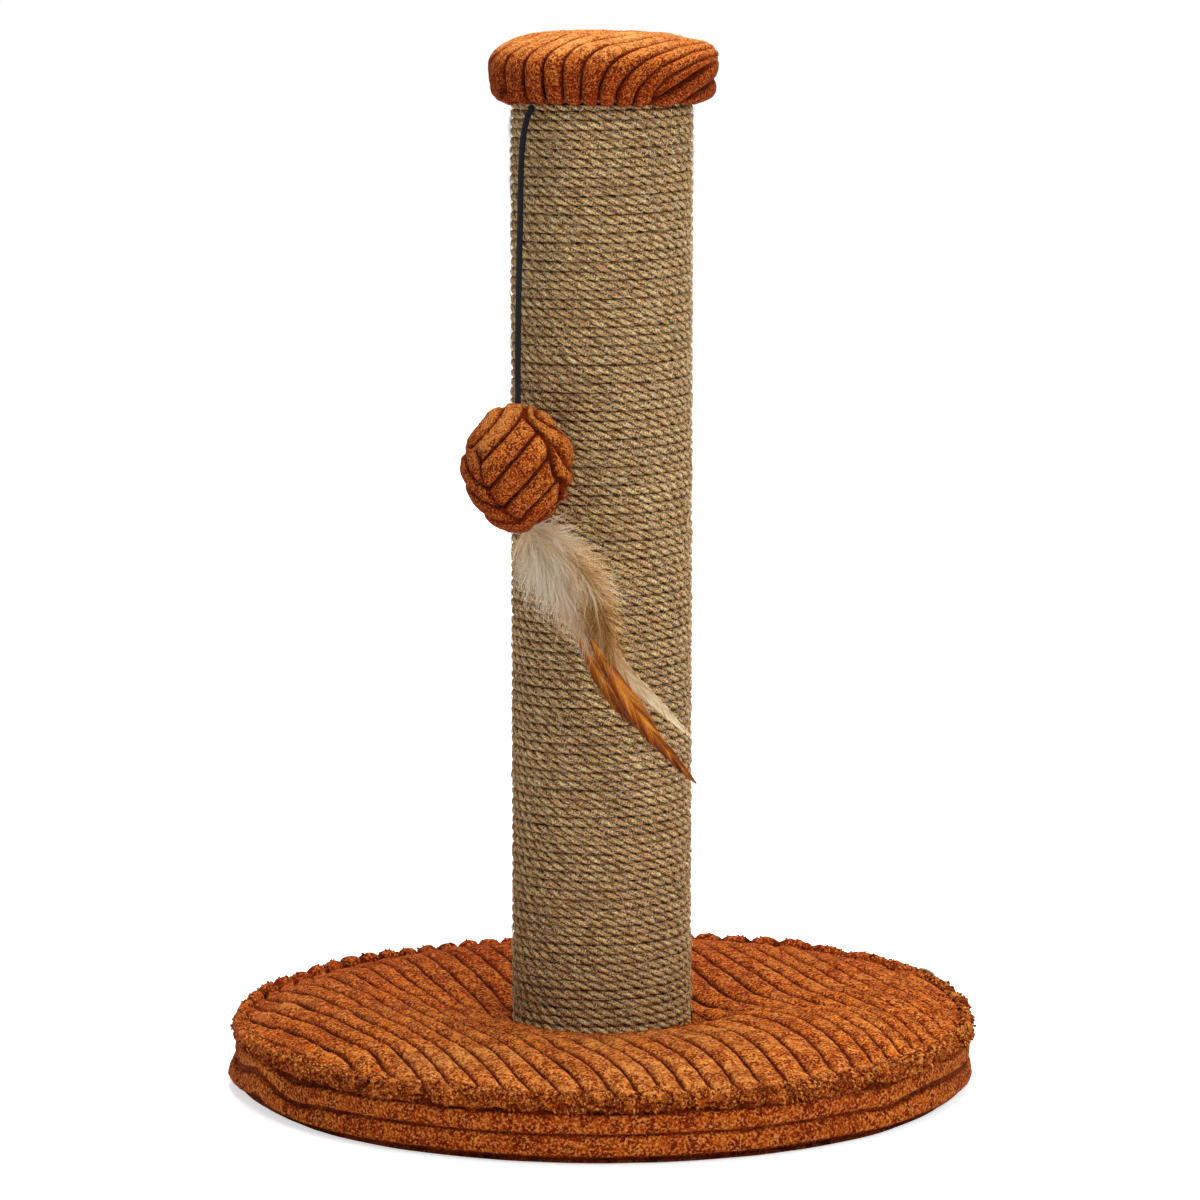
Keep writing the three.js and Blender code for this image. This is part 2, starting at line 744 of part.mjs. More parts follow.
add('base_board', baseBoard(), fibreboard);
add('base_foam', baseFoam(), foam);
add('base_cover_top', baseCoverTop(), corduroy);
add('base_cover_band', baseCoverBand(), corduroy);
add('base_bottom_cloth',
  ring(UNDERCLOTH_HOLE, underclothRadius, 0, UNDERCLOTH_THICKNESS, BASE_SIDES), darkCloth);
add('base_seam_tab', baseSeamTab(), tabCloth);
add('base_bolt', bolt(boardBottom, BASE_BOLT_LENGTH, 1), steel);
add('base_washer',
  ring(boltHole, WASHER_RADIUS, washerTop - WASHER_THICKNESS, washerTop, SMALL_SIDES), steel);
for (let i = 0; i < BASE_STAPLES; i += 1) add(`base_hem_staple_${i + 1}`, baseStaple(i), steel);

add('post_core',
  cut(ring(tubeBore, TUBE_RADIUS, postBottom, POST_TOP, POST_SIDES), ...ropeStapleHoles),
  cardboard);
add('post_bottom_plug', plug(postBottom + PLUG_THICKNESS, postBottom), fibreboard);
add('post_bottom_nut', teeNut(postBottom + PLUG_THICKNESS, -1), steel);
add('post_top_plug', plug(POST_TOP - PLUG_THICKNESS, POST_TOP), fibreboard);
add('post_top_nut', teeNut(POST_TOP - PLUG_THICKNESS, 1), steel);
add('jute_rope', cut(stitched(ropeRings), ...ropeStapleHoles), jute);
add('rope_staple_bottom', ropeStapleBottom(), steel);
add('rope_staple_top', ropeStapleTop(), steel);

add('cap_board', capBoard(), fibreboard);
add('cap_foam', capFoam(), foam);
add('cap_cover', capCover(), corduroy);
add('cap_bolt', bolt(capBoltHeadTop, CAP_BOLT_LENGTH, -1), steel);
for (let i = 0; i < CAP_STAPLES; i += 1) add(`cap_staple_${i + 1}`, capStaple(i), steel);

add('toy_cord_knot', knot(KNOT_RADIUS, outerKnot), cordCloth);
add('toy_cord', toyCord(), cordCloth);
add('toy_inner_knot', knot(INNER_KNOT_RADIUS, toyPoint([0, 0, innerKnotHeight])), cordCloth);
add('toy_ball_cover', ballCover(), corduroy);
add('toy_ball_stuffing', ballStuffing(), foam);
add('toy_feather_fluff', fluff(), creamFeather);
for (const [name, feather] of Object.entries(LONG_FEATHERS)) {
  add(name, blade(feather), name === 'toy_feather_rear' ? tanFeather : rustFeather);
}

export default scratchingPost;
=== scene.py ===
"""Cat scratching post: corduroy base and cap, a post wound with jute rope, and a hanging feather toy.

Shapes are worked out in millimetres and turned into metres when a mesh is made. +Z is up, and
-Y is the front.
"""

import itertools
import json
import math

import bpy
import numpy as np
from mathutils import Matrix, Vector
from mathutils.bvhtree import BVHTree

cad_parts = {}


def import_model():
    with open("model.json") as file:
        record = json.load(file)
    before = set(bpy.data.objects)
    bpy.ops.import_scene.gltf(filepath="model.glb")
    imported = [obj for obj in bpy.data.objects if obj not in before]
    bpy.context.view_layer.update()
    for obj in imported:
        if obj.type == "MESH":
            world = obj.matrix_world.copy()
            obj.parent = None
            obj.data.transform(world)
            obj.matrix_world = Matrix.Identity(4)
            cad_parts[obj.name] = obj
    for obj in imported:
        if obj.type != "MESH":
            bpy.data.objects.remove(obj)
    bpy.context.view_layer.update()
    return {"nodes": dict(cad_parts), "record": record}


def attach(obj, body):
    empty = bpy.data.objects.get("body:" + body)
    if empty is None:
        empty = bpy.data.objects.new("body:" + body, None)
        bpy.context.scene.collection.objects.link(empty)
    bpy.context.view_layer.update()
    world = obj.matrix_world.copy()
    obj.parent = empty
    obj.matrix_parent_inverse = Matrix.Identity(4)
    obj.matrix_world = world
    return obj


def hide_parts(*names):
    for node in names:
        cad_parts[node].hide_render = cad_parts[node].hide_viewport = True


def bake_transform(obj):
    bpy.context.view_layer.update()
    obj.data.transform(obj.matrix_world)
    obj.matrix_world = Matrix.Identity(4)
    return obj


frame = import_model()

MM = 0.001
FULL_TURN = 2 * math.pi

# ---- sizes, in mm

WALE = 12.0  # one rib of the base's corduroy
WALE_LEAN = math.radians(21)  # of the ribs, from the front-to-back line
WALE_DEPTH = 3.8
BASE_RADIUS = 186.0
STITCH_RADIUS = 181.5
STITCH_HEIGHT = 31.0
SWELL_RADIUS = 112.0  # where the cushion stands highest
SWELL_HEIGHT = 41.0
PIT_RADIUS = 47.0  # of the cushion, where it meets the rope
PIT_HEIGHT = 35.0
SEAT_HEIGHT = 23.6  # of the foam under the post
BOLT_HOLE_RADIUS = 5.0
FOAM_BOTTOM = 19.1
CUSHION_DENTS = [(3.5, 54, -15, 13), (2.5, -52, -6, 18)]  # depth, x, y and width

BAND_TOP = 29.0
BAND_RIB_TOP = 25.0  # the frayed edge hangs down to here
BAND_GROOVE = 14.6  # between the band's two ribs
STRIP_TOP = 3.6  # where the band turns under
BAND_RADIUS = 185.8
BAND_FOLD_RADIUS = 181.0
HEM_RADIUS = 167.0
# Waves of the band's groove round the rim: their height, then their place and width in degrees.
BAND_WAVES = [(4.5, 203, 6), (-3, 184, 5), (-2.3, 216, 6), (2.2, -29, 9), (-1.7, -42, 4), (-1, -5, 6)]
UNDERSIDE_RADIUS = 179.0
UNDERSIDE_HOLE = 16.0
TUFT_LOWEST = 22.0  # tufts start above this height

TAB_ANGLE = math.radians(25)
TAB_WIDTH = 12.0
TAB_OUTSIDE = [(184.6, 29.0), (187.6, 30.6), (188.6, 33.4), (188.4, 36.2), (187.6, 38.4), (186.6, 38.8)]
TAB_INSIDE = [(186.0, 38.2), (186.9, 37.6), (187.5, 35.8), (187.6, 33.6), (186.9, 31.4), (184.6, 29.8)]

POST_BOTTOM = 23.9
POST_TOP = 492.6
ROPE_TOP = 493.6  # squeezed under the cap
ROPE_RADIUS = 2.5
ROPE_PITCH = 4.6
ROPE_CENTRE = 42.75
ROPE_FACE = 45.0  # radius of the wound rope, out to its face
ROPE_LAY = 20.0  # length of one twist of its strands
ROPE_STRANDS = 3
STRAND_CRESTS = np.array([0.0, 0.72, 1.0, 1.0, 0.72])  # height across one strand
ROPE_STEPS = ROPE_STRANDS * len(STRAND_CRESTS)  # points along one twist

CAP_RADIUS = 56.2
CAP_TOP = 527.0
CAP_WIDEST = 506.9  # height of its widest ring
CAP_ROUNDNESS = 2.9  # exponent of its dome: higher is squarer
CAP_FOOT_RADIUS = 51.0
CAP_FOOT_DROP = 12.0  # of its foot, below the widest ring
CAP_UNDERSIDE = 494.5
CAP_WALE = 9.3
CAP_ROLL_WALE = 9.0

BALL_CENTRE = np.array([-40.83, -60.54, 318.3])
BALL_RADIUS = 27.2
BALL_HALF_HEIGHT = 31.2
BALL_WALE = 12.4
BALL_SIDE_WALE = 7.0
BALL_REST = 46.6  # the ball is pressed flat here, this far out from the post's axis
FLUFF_REST = 46.4  # and the down here
QUILL_TOP = -BALL_HALF_HEIGHT - 0.3  # from the ball's centre

# Points of the seam at the ball's right, across and up, from -1 to 1.
BALL_SEAM = np.array([
    (0.80, -0.47), (0.83, -0.14), (0.69, -0.06), (0.62, 0.245),
    (0.585, 0.43), (0.46, 0.63), (0.25, 0.80), (0.15, 0.88),
])

CORD_RADIUS = 1.5
OUTER_KNOT = np.array([-34.3, -35.5, 491.7])
OUTER_KNOT_RADIUS = 2.1
INNER_KNOT = np.array([-40.83, -60.54, 344.6])
INNER_KNOT_RADIUS = 3.4
KNOT_RADIUS = 2.6  # of an even knot,
KNOT_CORD_RADIUS = 1.15  # and of the cord drawn tight in it

# The cord's route: from below the outer knot, along the rope and down to the ball.
CORD_ROUTE = [
    (-35.9, -35.3, 488.5),
    (-37.4, -35.1, 483.0),
    (-38.9, -36.2, 472.5),
    (-39.5, -38.8, 458.0),
    (-40.0, -44.3, 430.0),
    (-40.6, -50.1, 400.0),
    (-40.9, -56.1, 370.0),
    (-40.83, -60.54, 348.0),
]

TOY_TURN = math.radians(34)
OUTWARD = np.array([-math.sin(TOY_TURN), -math.cos(TOY_TURN), 0.0])
ACROSS = np.array([math.cos(TOY_TURN), -math.sin(TOY_TURN), 0.0])
UP = np.array([0.0, 0.0, 1.0])

# ---- number tools


def unit(x):
    """x, kept between 0 and 1."""
    return np.clip(x, 0, 1)


def smooth(low, high, x):
    """0 below low, 1 above high, and a soft step between them."""
    t = unit((x - low) / (high - low))
    return t * t * (3 - 2 * t)


def mix(a, b, share):
    return a + (b - a) * share


def bell(x, centre, width):
    return np.exp(-(((x - centre) / width) ** 2))


def lattice(x, y, z, seed):
    h = np.sin(x * 127.1 + y * 311.7 + z * 74.7 + seed * 53.3) * 43758.5453
    return (h - np.floor(h)) * 2 - 1


def noise(points, size, seed=0):
    """Soft noise from -1 to 1 over an array of points, with lumps of the given size."""
    p = np.asarray(points, float) / size
    cell = np.floor(p)
    f = p - cell
    f = f * f * (3 - 2 * f)
    shares = (1 - f, f)
    total = 0
    for dx, dy, dz in itertools.product((0, 1), repeat=3):
        weight = shares[dx][..., 0] * shares[dy][..., 1] * shares[dz][..., 2]
        total = total + weight * lattice(cell[..., 0] + dx, cell[..., 1] + dy, cell[..., 2] + dz, seed)
    return total


def rib(phase, fullness=3.2):
    """Height of a corduroy rib, 0 in the groove and 1 on its crest, one rib per unit of phase."""
    t = np.abs(2 * (phase - np.floor(phase)) - 1)
    return (1 - t**fullness) ** 0.6


def line(height):
    """1 on the nap and 0 on a thin line in the groove, from a rib's height. The dark line is painted
    shade in the groove.
    """
    return unit((height - 0.38) / 0.45)


def soften(grid, rows, columns):
    """Averages a grid over the given numbers of neighbours, twice each way."""
    for axis, size in ((0, rows), (1, columns)) * 2:
        edge = [(0, 0), (0, 0)]
        edge[axis] = (size // 2, size - 1 - size // 2)
        run = np.cumsum(np.pad(grid, edge, mode="edge"), axis=axis)
        run = np.concatenate([np.zeros_like(np.take(run, [0], axis)), run], axis=axis)
        low = np.take(run, np.arange(grid.shape[axis]), axis)
        grid = (np.take(run, np.arange(size, size + grid.shape[axis]), axis) - low) / size
    return grid


# ---- point tools


def points_at(x, y, z=0.0):
    return np.stack(np.broadcast_arrays(x, y, z), axis=-1)


def ring(radius, angle, z=0.0):
    """Points at a radius and an angle round the upright axis."""
    return points_at(radius * np.cos(angle), radius * np.sin(angle), z)


def round_angles(count):
    return np.linspace(0, FULL_TURN, count, endpoint=False)


def directions(vectors):
    """The vectors at a length of 1."""
    return vectors / np.maximum(np.linalg.norm(vectors, axis=-1, keepdims=True), 1e-9)


def spline(points, count):
    """Points evenly far apart on a smooth line through the given ones."""
    p = np.asarray(points, float)
    ends = np.vstack([2 * p[0] - p[1], p, 2 * p[-1] - p[-2]])
    t = np.linspace(0, 1, 60, endpoint=False)[:, None]
    parts = []
    for a, b, c, d in zip(ends, ends[1:], ends[2:], ends[3:]):
        bend = (2 * a - 5 * b + 4 * c - d) * t**2 + (3 * b - a - 3 * c + d) * t**3
        parts.append(0.5 * (2 * b + (c - a) * t + bend))
    fine = np.vstack(parts + [p[-1:]])
    run = np.concatenate([[0], np.cumsum(np.linalg.norm(np.diff(fine, axis=0), axis=1))])
    stops = np.linspace(0, run[-1], count)
    return np.stack([np.interp(stops, run, fine[:, k]) for k in range(3)], axis=1)


def normals_of(grid):
    """Unit normals of a grid of points whose columns go all the way round."""
    along = np.roll(grid, -1, axis=1) - np.roll(grid, 1, axis=1)
    return directions(np.cross(np.gradient(grid, axis=0), along))


def frames_along(path):
    """Tangent and two side vectors at each point of a path."""
    tangent = directions(np.gradient(path, axis=0))
    side = directions(np.cross(tangent, OUTWARD))
    return tangent, side, np.cross(side, tangent)


# ---- mesh tools


def quads(rows, columns, wrap_columns=False, wrap_rows=False):
    """Faces of a grid whose points go row by row."""
    r = np.arange(rows if wrap_rows else rows - 1)
    c = np.arange(columns if wrap_columns else columns - 1)
    r, c = np.meshgrid(r, c, indexing="ij")
    r2, c2 = (r + 1) % rows, (c + 1) % columns
    faces = np.stack([r * columns + c, r * columns + c2, r2 * columns + c2, r2 * columns + c])
    return faces.reshape(4, -1).T


def tube_faces(rows, columns):
    """Faces of a tube's side and of its two ends."""
    faces = quads(rows, columns, wrap_columns=True).tolist()
    faces.append(list(range(columns))[::-1])
    faces.append(list(range((rows - 1) * columns, rows * columns)))
    return faces


def add_object(name, data):
    made = bpy.data.objects.new(name, data)
    bpy.context.scene.collection.objects.link(made)
    return made


def make_piece(name, points, faces, look, body="post_and_base", values=None, replaces=()):
    """A smooth-shaded mesh from points in mm. values are numbers per point, kept by name."""
    mesh = bpy.data.meshes.new(name)
    faces = faces.tolist() if isinstance(faces, np.ndarray) else faces
    mesh.from_pydata((np.reshape(points, (-1, 3)) * MM).tolist(), [], faces)
    mesh.update()
    mesh.shade_smooth()
    for key, value in (values or {}).items():
        layer = mesh.attributes.new(key, "FLOAT", "POINT")
        layer.data.foreach_set("value", np.asarray(value, np.float32).ravel())
    mesh.materials.append(LOOKS[look])
    piece = add_object(name, mesh)
    if body:
        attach(piece, body)
    if replaces:
        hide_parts(*replaces)
    return piece


def sweep(path, side, other, radii, sides):
    """Rings of points round a path, shaped (path, sides, 3)."""
    turn = round_angles(sides)[:, None]
    rings = side[:, None] * np.cos(turn) + other[:, None] * np.sin(turn)
    return path[:, None] + rings * np.broadcast_to(radii, len(path))[:, None, None]


def tube(path, radii, sides):
    """Points and faces of a closed tube round a path."""
    _, side, other = frames_along(path)
    return sweep(path, side, other, radii, sides).reshape(-1, 3), tube_faces(len(path), sides)


def strands(paths, widths, thickness=0.35):
    """Many thin three-sided blades. paths is (strands, steps, 3), and widths is (strands, steps), or
    (1, steps) where all are alike."""
    count, steps, _ = paths.shape
    tangent = directions(np.gradient(paths, axis=1))
    side = directions(np.cross(tangent, OUTWARD + 0.05))
    lift = np.cross(side, tangent)
    wide = widths[..., None] / 2
    corners = [paths - side * wide, paths + side * wide, paths + lift * wide * 2 * thickness]
    points = np.stack(corners, axis=2).reshape(-1, 3)
    starts = np.arange(count) * steps * 3
    faces = (quads(steps, 3, wrap_columns=True) + starts[:, None, None]).reshape(-1, 4).tolist()
    last = (steps - 1) * 3
    for first in starts.tolist():
        faces.append([first, first + 1, first + 2])
        faces.append([first + last, first + last + 2, first + last + 1])
    return points, faces


# ---- cloth simulation

VOXEL = 5.0
CLOTH_FRAMES = 20
CLOTH_PRESSURE = 4
CLOTH_SLACK = 0.02  # how much too large the cloth is for its form
CLOTH_TRAVEL = 6  # the most that a point may move
CLOTH_SHARE = 0.6  # how much of its movement is used


def puff(points, faces, held):
    """Fills a closed form with air as cloth that is a little too large for it, and returns the
    new surface as a tree to shoot rays at, in mm. held says which points the seams hold."""
    scene = bpy.context.scene
    mesh = bpy.data.meshes.new("form")
    mesh.from_pydata((np.asarray(points) * MM).tolist(), [], faces)
    form = add_object("form", mesh)
    remesh = form.modifiers.new("remesh", "REMESH")
    remesh.mode = "VOXEL"
    remesh.voxel_size = VOXEL * MM
    evaluated = form.evaluated_get(bpy.context.evaluated_depsgraph_get())
    form.data = bpy.data.meshes.new_from_object(evaluated)
    form.modifiers.clear()
    start = points_of(form.data)
    group = form.vertex_groups.new(name="held")
    group.add(np.flatnonzero(held(start / MM)).tolist(), 1.0, "REPLACE")
    cloth = form.modifiers.new("cloth", "CLOTH")
    cloth.settings.vertex_group_mass = "held"
    cloth.settings.use_pressure = True
    cloth.settings.uniform_pressure_force = CLOTH_PRESSURE
    cloth.settings.shrink_min = -CLOTH_SLACK
    cloth.settings.effector_weights.gravity = 0
    for step in range(1, CLOTH_FRAMES + 1):
        scene.frame_set(step)
    evaluated = form.evaluated_get(bpy.context.evaluated_depsgraph_get())
    moved = points_of(evaluated.data) - start
    far = np.linalg.norm(moved, axis=1, keepdims=True)
    moved *= np.minimum(1, CLOTH_TRAVEL * MM / np.maximum(far, 1e-9))
    polygons = [tuple(face.vertices) for face in form.data.polygons]
    tree = BVHTree.FromPolygons(((start + moved) / MM).tolist(), polygons)
    bpy.data.objects.remove(form)
    scene.frame_set(1)
    return tree


def points_of(mesh):
    points = np.zeros(len(mesh.vertices) * 3)
    mesh.vertices.foreach_get("co", points)
    return points.reshape(-1, 3)


def depths(tree, origins, reach):
    """How far below each origin the surface lies, or reach where there is none."""
    found = np.full(origins.shape[:-1], float(reach)).ravel()
    for i, origin in enumerate(origins.reshape(-1, 3).tolist()):
        distance = tree.ray_cast(origin, -UP, 2 * reach)[3]
        if distance is not None:
            found[i] = distance
    return found.reshape(origins.shape[:-1])


# ---- material tools

WHITE = (1, 1, 1, 1)


def colour(code):
    """A colour such as c87a30 as linear red, green, blue and alpha."""
    parts = [int(code[i : i + 2], 16) / 255 for i in (0, 2, 4)]
    linear = [c / 12.92 if c <= 0.04045 else ((c + 0.055) / 1.055) ** 2.4 for c in parts]
    return (*linear, 1.0)


def add_node(tree, kind, inputs=(), **settings):
    """A node of a kind. Its inputs are values, or the sockets that lead to them."""
    made = tree.nodes.new("ShaderNode" + kind)
    for key, value in settings.items():
        setattr(made, key, value)
    for key, value in dict(inputs).items():
        if isinstance(value, bpy.types.NodeSocket):
            tree.links.new(value, made.inputs[key])
        else:
            made.inputs[key].default_value = value
    return made


class Surface:
    """A node material, with short calls for the nodes that the materials here need."""

    def __init__(self, name, roughness=0.85, metallic=0.0, sheen=0.0, sheen_tint=None, shine=0.15):
        self.material = bpy.data.materials.new(name)
        self.material.use_nodes = True
        self.tree = self.material.node_tree
        self.inputs = self.tree.nodes["Principled BSDF"].inputs
        self.inputs["Roughness"].default_value = roughness
        self.inputs["Metallic"].default_value = metallic
        self.inputs["Specular IOR Level"].default_value = shine
        self.inputs["Sheen Weight"].default_value = sheen
        self.inputs["Sheen Roughness"].default_value = 0.5
        if sheen_tint:
            self.inputs["Sheen Tint"].default_value = colour(sheen_tint)
        self.place = self.node("TexCoord").outputs["Object"]

    def node(self, kind, inputs=(), **settings):
        return add_node(self.tree, kind, inputs, **settings)

    def noise(self, size, detail=2.0, place=None, ragged=0.5):
        """Noise with lumps of the given size in mm."""
        inputs = {"Vector": place or self.place, "Scale": 1 / (size * MM)}
        return self.node("TexNoise", {**inputs, "Detail": detail, "Roughness": ragged}).outputs["Fac"]

    def cells(self, scale):
        return self.node("TexVoronoi", {"Vector": self.place, "Scale": scale}).outputs["Distance"]

    def bands(self, scale, direction, distortion=0.0, place=None):
        inputs = {"Vector": place or self.place, "Scale": scale, "Distortion": distortion}
        return self.node("TexWave", inputs, bands_direction=direction).outputs["Fac"]

    def value(self, name):
        return self.node("Attribute", attribute_name=name).outputs["Fac"]

    def from_values(self, x, y):
        """A place made of two of the mesh's values."""
        inputs = {"X": self.value(x), "Y": self.value(y)}
        return self.node("CombineXYZ", inputs).outputs[0]

    def math(self, operation, a, b=0.0, c=0.0):
        return self.node("Math", {0: a, 1: b, 2: c}, operation=operation).outputs[0]

    def ramp(self, factor, *stops):
        """Colours, or levels of grey, at places from 0 to 1."""
        made = self.node("ValToRGB", {"Fac": factor})
        elements = made.color_ramp.elements
        while len(elements) < len(stops):
            elements.new(0.5)
        for element, (at, what) in zip(elements, stops):
            element.position = at
            element.color = colour(what) if isinstance(what, str) else (what, what, what, 1)
        return made.outputs["Color"]

    def blend(self, factor, a, b, kind="MIX"):
        a, b = (colour(c) if isinstance(c, str) else c for c in (a, b))
        inputs = {"Fac": factor, "Color1": a, "Color2": b}
        return self.node("MixRGB", inputs, blend_type=kind).outputs["Color"]

    def stretched(self, x, y, z):
        """The object's coordinates times x, y and z."""
        return self.node("Mapping", {"Vector": self.place, "Scale": (x, y, z)}).outputs["Vector"]

    def feed(self, key, socket):
        self.tree.links.new(socket, self.inputs[key])

    def paint(self, socket):
        self.feed("Base Color", socket)

    def bump(self, *layers):
        """Each layer is a height, its depth in mm and its strength."""
        normal = None
        for height, depth, strength in layers:
            inputs = {"Height": height, "Distance": depth * MM, "Strength": strength}
            if normal:
                inputs["Normal"] = normal
            normal = self.node("Bump", inputs).outputs["Normal"]
        self.feed("Normal", normal)


# ---- materials


def corduroy_material(name, clump_size):
    """Pile with dark roots and pale tips: painted shade in the grooves and hollows, and painted
    highlights on the tips. Its colour runs from red, on the sides, to golden on the tops, as painted
    top light.
    """
    s = Surface(name, roughness=0.95, sheen=0.03, sheen_tint="f0a060", shine=0.04)
    # The first value is the rib's height with painted shade: low in the grooves, hollows, folds and
    # undersides.
    height = s.value("pile_and_shade")
    gold_and_light = s.value("gold_and_light")
    pale = s.value("pale")
    fine = s.noise(0.26 * clump_size, 2, ragged=0.6)
    clumps = s.noise(clump_size, 4, ragged=0.66)
    patches = s.noise(22, 3)
    # Both ramps are near black at low values: painted shade in the grooves and at the roots.
    red = s.ramp(height, (0.0, "0e0200"), (0.4, "360902"), (0.75, "7e2609"), (1.0, "90300b"))
    golden = s.ramp(height, (0.0, "160300"), (0.4, "521202"), (0.75, "ba520d"), (1.0, "cc6616"))
    # Red mixes to golden by how golden the point is: painted top light, golden where light falls and
    # red on the sides.
    base = s.blend(gold_and_light, red, golden)
    # Paler where the pale value is high: painted highlight on lit tops and on the lip's upper side,
    # with random tone elsewhere.
    pale_tone_and_highlight = s.blend(pale, base, s.ramp(height, (0.2, "843206"), (0.7, "d8924a"), (1.0, "dfa660")))
    toned = s.blend(s.ramp(patches, (0.40, 0.0), (0.66, 0.45)), pale_tone_and_highlight, "9a3a08")
    few = s.math("MULTIPLY_ADD", pale, -0.6, 0.95)
    ragged = s.math("MULTIPLY_ADD", fine, 0.25, s.math("MULTIPLY", clumps, 0.75))
    specks = s.math("MULTIPLY", s.ramp(ragged, (0.465, 0.95), (0.50, 0.0)), few)
    dark = s.blend(specks, toned, "701e04")
    pits = s.math("MULTIPLY", s.ramp(fine, (0.37, 0.8), (0.44, 0.0)), few)
    darker = s.blend(pits, dark, "5a1402")
    # Painted highlights: bright flecks on the tips, only where the rib stands high.
    tip_highlight_colour = s.blend(gold_and_light, "cf7c3c", "e39e54")
    lights = s.math("MULTIPLY", s.ramp(fine, (0.52, 0.0), (0.61, 0.8)), height)
    s.paint(s.blend(lights, darker, tip_highlight_colour))
    s.bump((clumps, 1.2, 0.8), (fine, 1.0, 1.0))
    return s.material


def jute_material():
    s = Surface("jute", roughness=0.9, sheen=0.05, sheen_tint="e8cfa0")
    place = s.from_values("fibre_across", "fibre_along")
    fibres = s.node("TexNoise", {"Vector": place, "Scale": 1.0, "Detail": 4.0}).outputs["Fac"]
    wear = s.noise(16, 3)
    fine = s.noise(0.75, 3)
    # From dark to bright along the crest value: painted shade in the valleys between strands and
    # between turns.
    stops = (0.0, "24180a"), (0.3, "785830"), (0.7, "c8a876"), (1.0, "e6cc9e")
    base = s.ramp(s.value("crest"), *stops)
    streaks = s.ramp(fibres, (0.36, "362210"), (0.5, "aa8a62"), (0.61, "fff0cc"))
    body = s.blend(0.75, base, s.blend(1.0, base, streaks, "OVERLAY"))
    tinted = s.blend(s.ramp(wear, (0.35, 0.0), (0.7, 0.35)), body, "a8946e", "MULTIPLY")
    darker = s.blend(s.ramp(fine, (0.36, 0.85), (0.48, 0.0)), tinted, "5a4022")
    # Bright fff0ca flecks: painted highlights on the fibres.
    s.paint(s.blend(s.ramp(fine, (0.54, 0.0), (0.65, 0.85)), darker, "fff0ca"))
    s.bump((fibres, 0.8, 1.0), (fine, 0.5, 0.9))
    return s.material


def fibre_material(name, codes, roughness=0.8):
    """Loose fibres and feathers, coloured from their tone value."""
    s = Surface(name, roughness=roughness, sheen=0.06)
    drift = s.math("MULTIPLY_ADD", s.noise(1.6, 2), 0.24, -0.12)
    shifted = s.math("ADD", s.value("tone"), drift)
    s.paint(s.ramp(shifted, *[(i / (len(codes) - 1), code) for i, code in enumerate(codes)]))
    s.bump((s.noise(0.4, 2), 0.15, 0.4))
    return s.material


def cord_material():
    s = Surface("cord_cloth", roughness=0.7, shine=0.2)
    weave = s.bands(1.0, "DIAGONAL", place=s.from_values("braid_around", "braid_along"))
    s.paint(s.ramp(weave, (0.0, "020204"), (0.6, "07080d"), (1.0, "12151f")))
    s.bump((weave, 0.25, 0.8), (s.noise(0.5, 2), 0.1, 0.4))
    return s.material


def steel_material():
    s = Surface("steel", roughness=0.34, metallic=1.0, shine=0.5)
    scratches = s.noise(0.6, 2, s.stretched(1, 1, 0.12))
    s.paint(s.ramp(s.noise(5, 4), (0.3, "9ea1a4"), (0.7, "c9cbcd")))
    s.feed("Roughness", s.ramp(scratches, (0.3, 0.24), (0.7, 0.46)))
    s.bump((scratches, 0.03, 0.4))
    return s.material


def fibreboard_material():
    s = Surface("fibreboard", roughness=0.82)
    chips = s.noise(1.8, 4, s.stretched(1, 1, 2.5))
    board = s.ramp(chips, (0.3, "8b6840"), (0.5, "ad885a"), (0.7, "c6a473"))
    s.paint(s.blend(s.ramp(s.noise(22, 2), (0.3, 0.0), (0.8, 0.5)), board, "9c7648"))
    s.bump((chips, 0.2, 0.5))
    return s.material


def cardboard_material():
    s = Surface("cardboard", roughness=0.86)
    fibres = s.noise(1.2, 4, s.stretched(1, 1, 3))
    bands = s.bands(9.0, "Z", distortion=0.6)
    paper = s.ramp(fibres, (0.3, "7f5f3d"), (0.7, "a98660"))
    s.paint(s.blend(s.ramp(bands, (0.0, 0.4), (0.08, 0.0)), paper, "6b4c2e"))
    s.bump((fibres, 0.1, 0.4), (bands, 0.2, 0.3))
    return s.material


def under_cloth_material():
    s = Surface("dark_cloth", roughness=0.95, sheen=0.1)
    felt = s.noise(0.8, 4)
    s.paint(s.ramp(felt, (0.3, "1d1a18"), (0.7, "383330")))
    s.bump((s.cells(500.0), 0.15, 0.5), (felt, 0.1, 0.5))
    return s.material


def foam_material():
    s = Surface("foam", roughness=0.95)
    s.paint(s.ramp(s.noise(12, 2), (0.3, "d8cca8"), (0.7, "efe7cc")))
    s.bump((s.cells(900.0), 0.4, 0.7))
    return s.material


def tab_material():
    s = Surface("tab_cloth", roughness=0.9)
    weave = s.bands(350.0, "Z")
    s.paint(s.ramp(weave, (0.0, "a4a49e"), (1.0, "d4d4ce")))
    s.bump((weave, 0.15, 0.6))
    return s.material


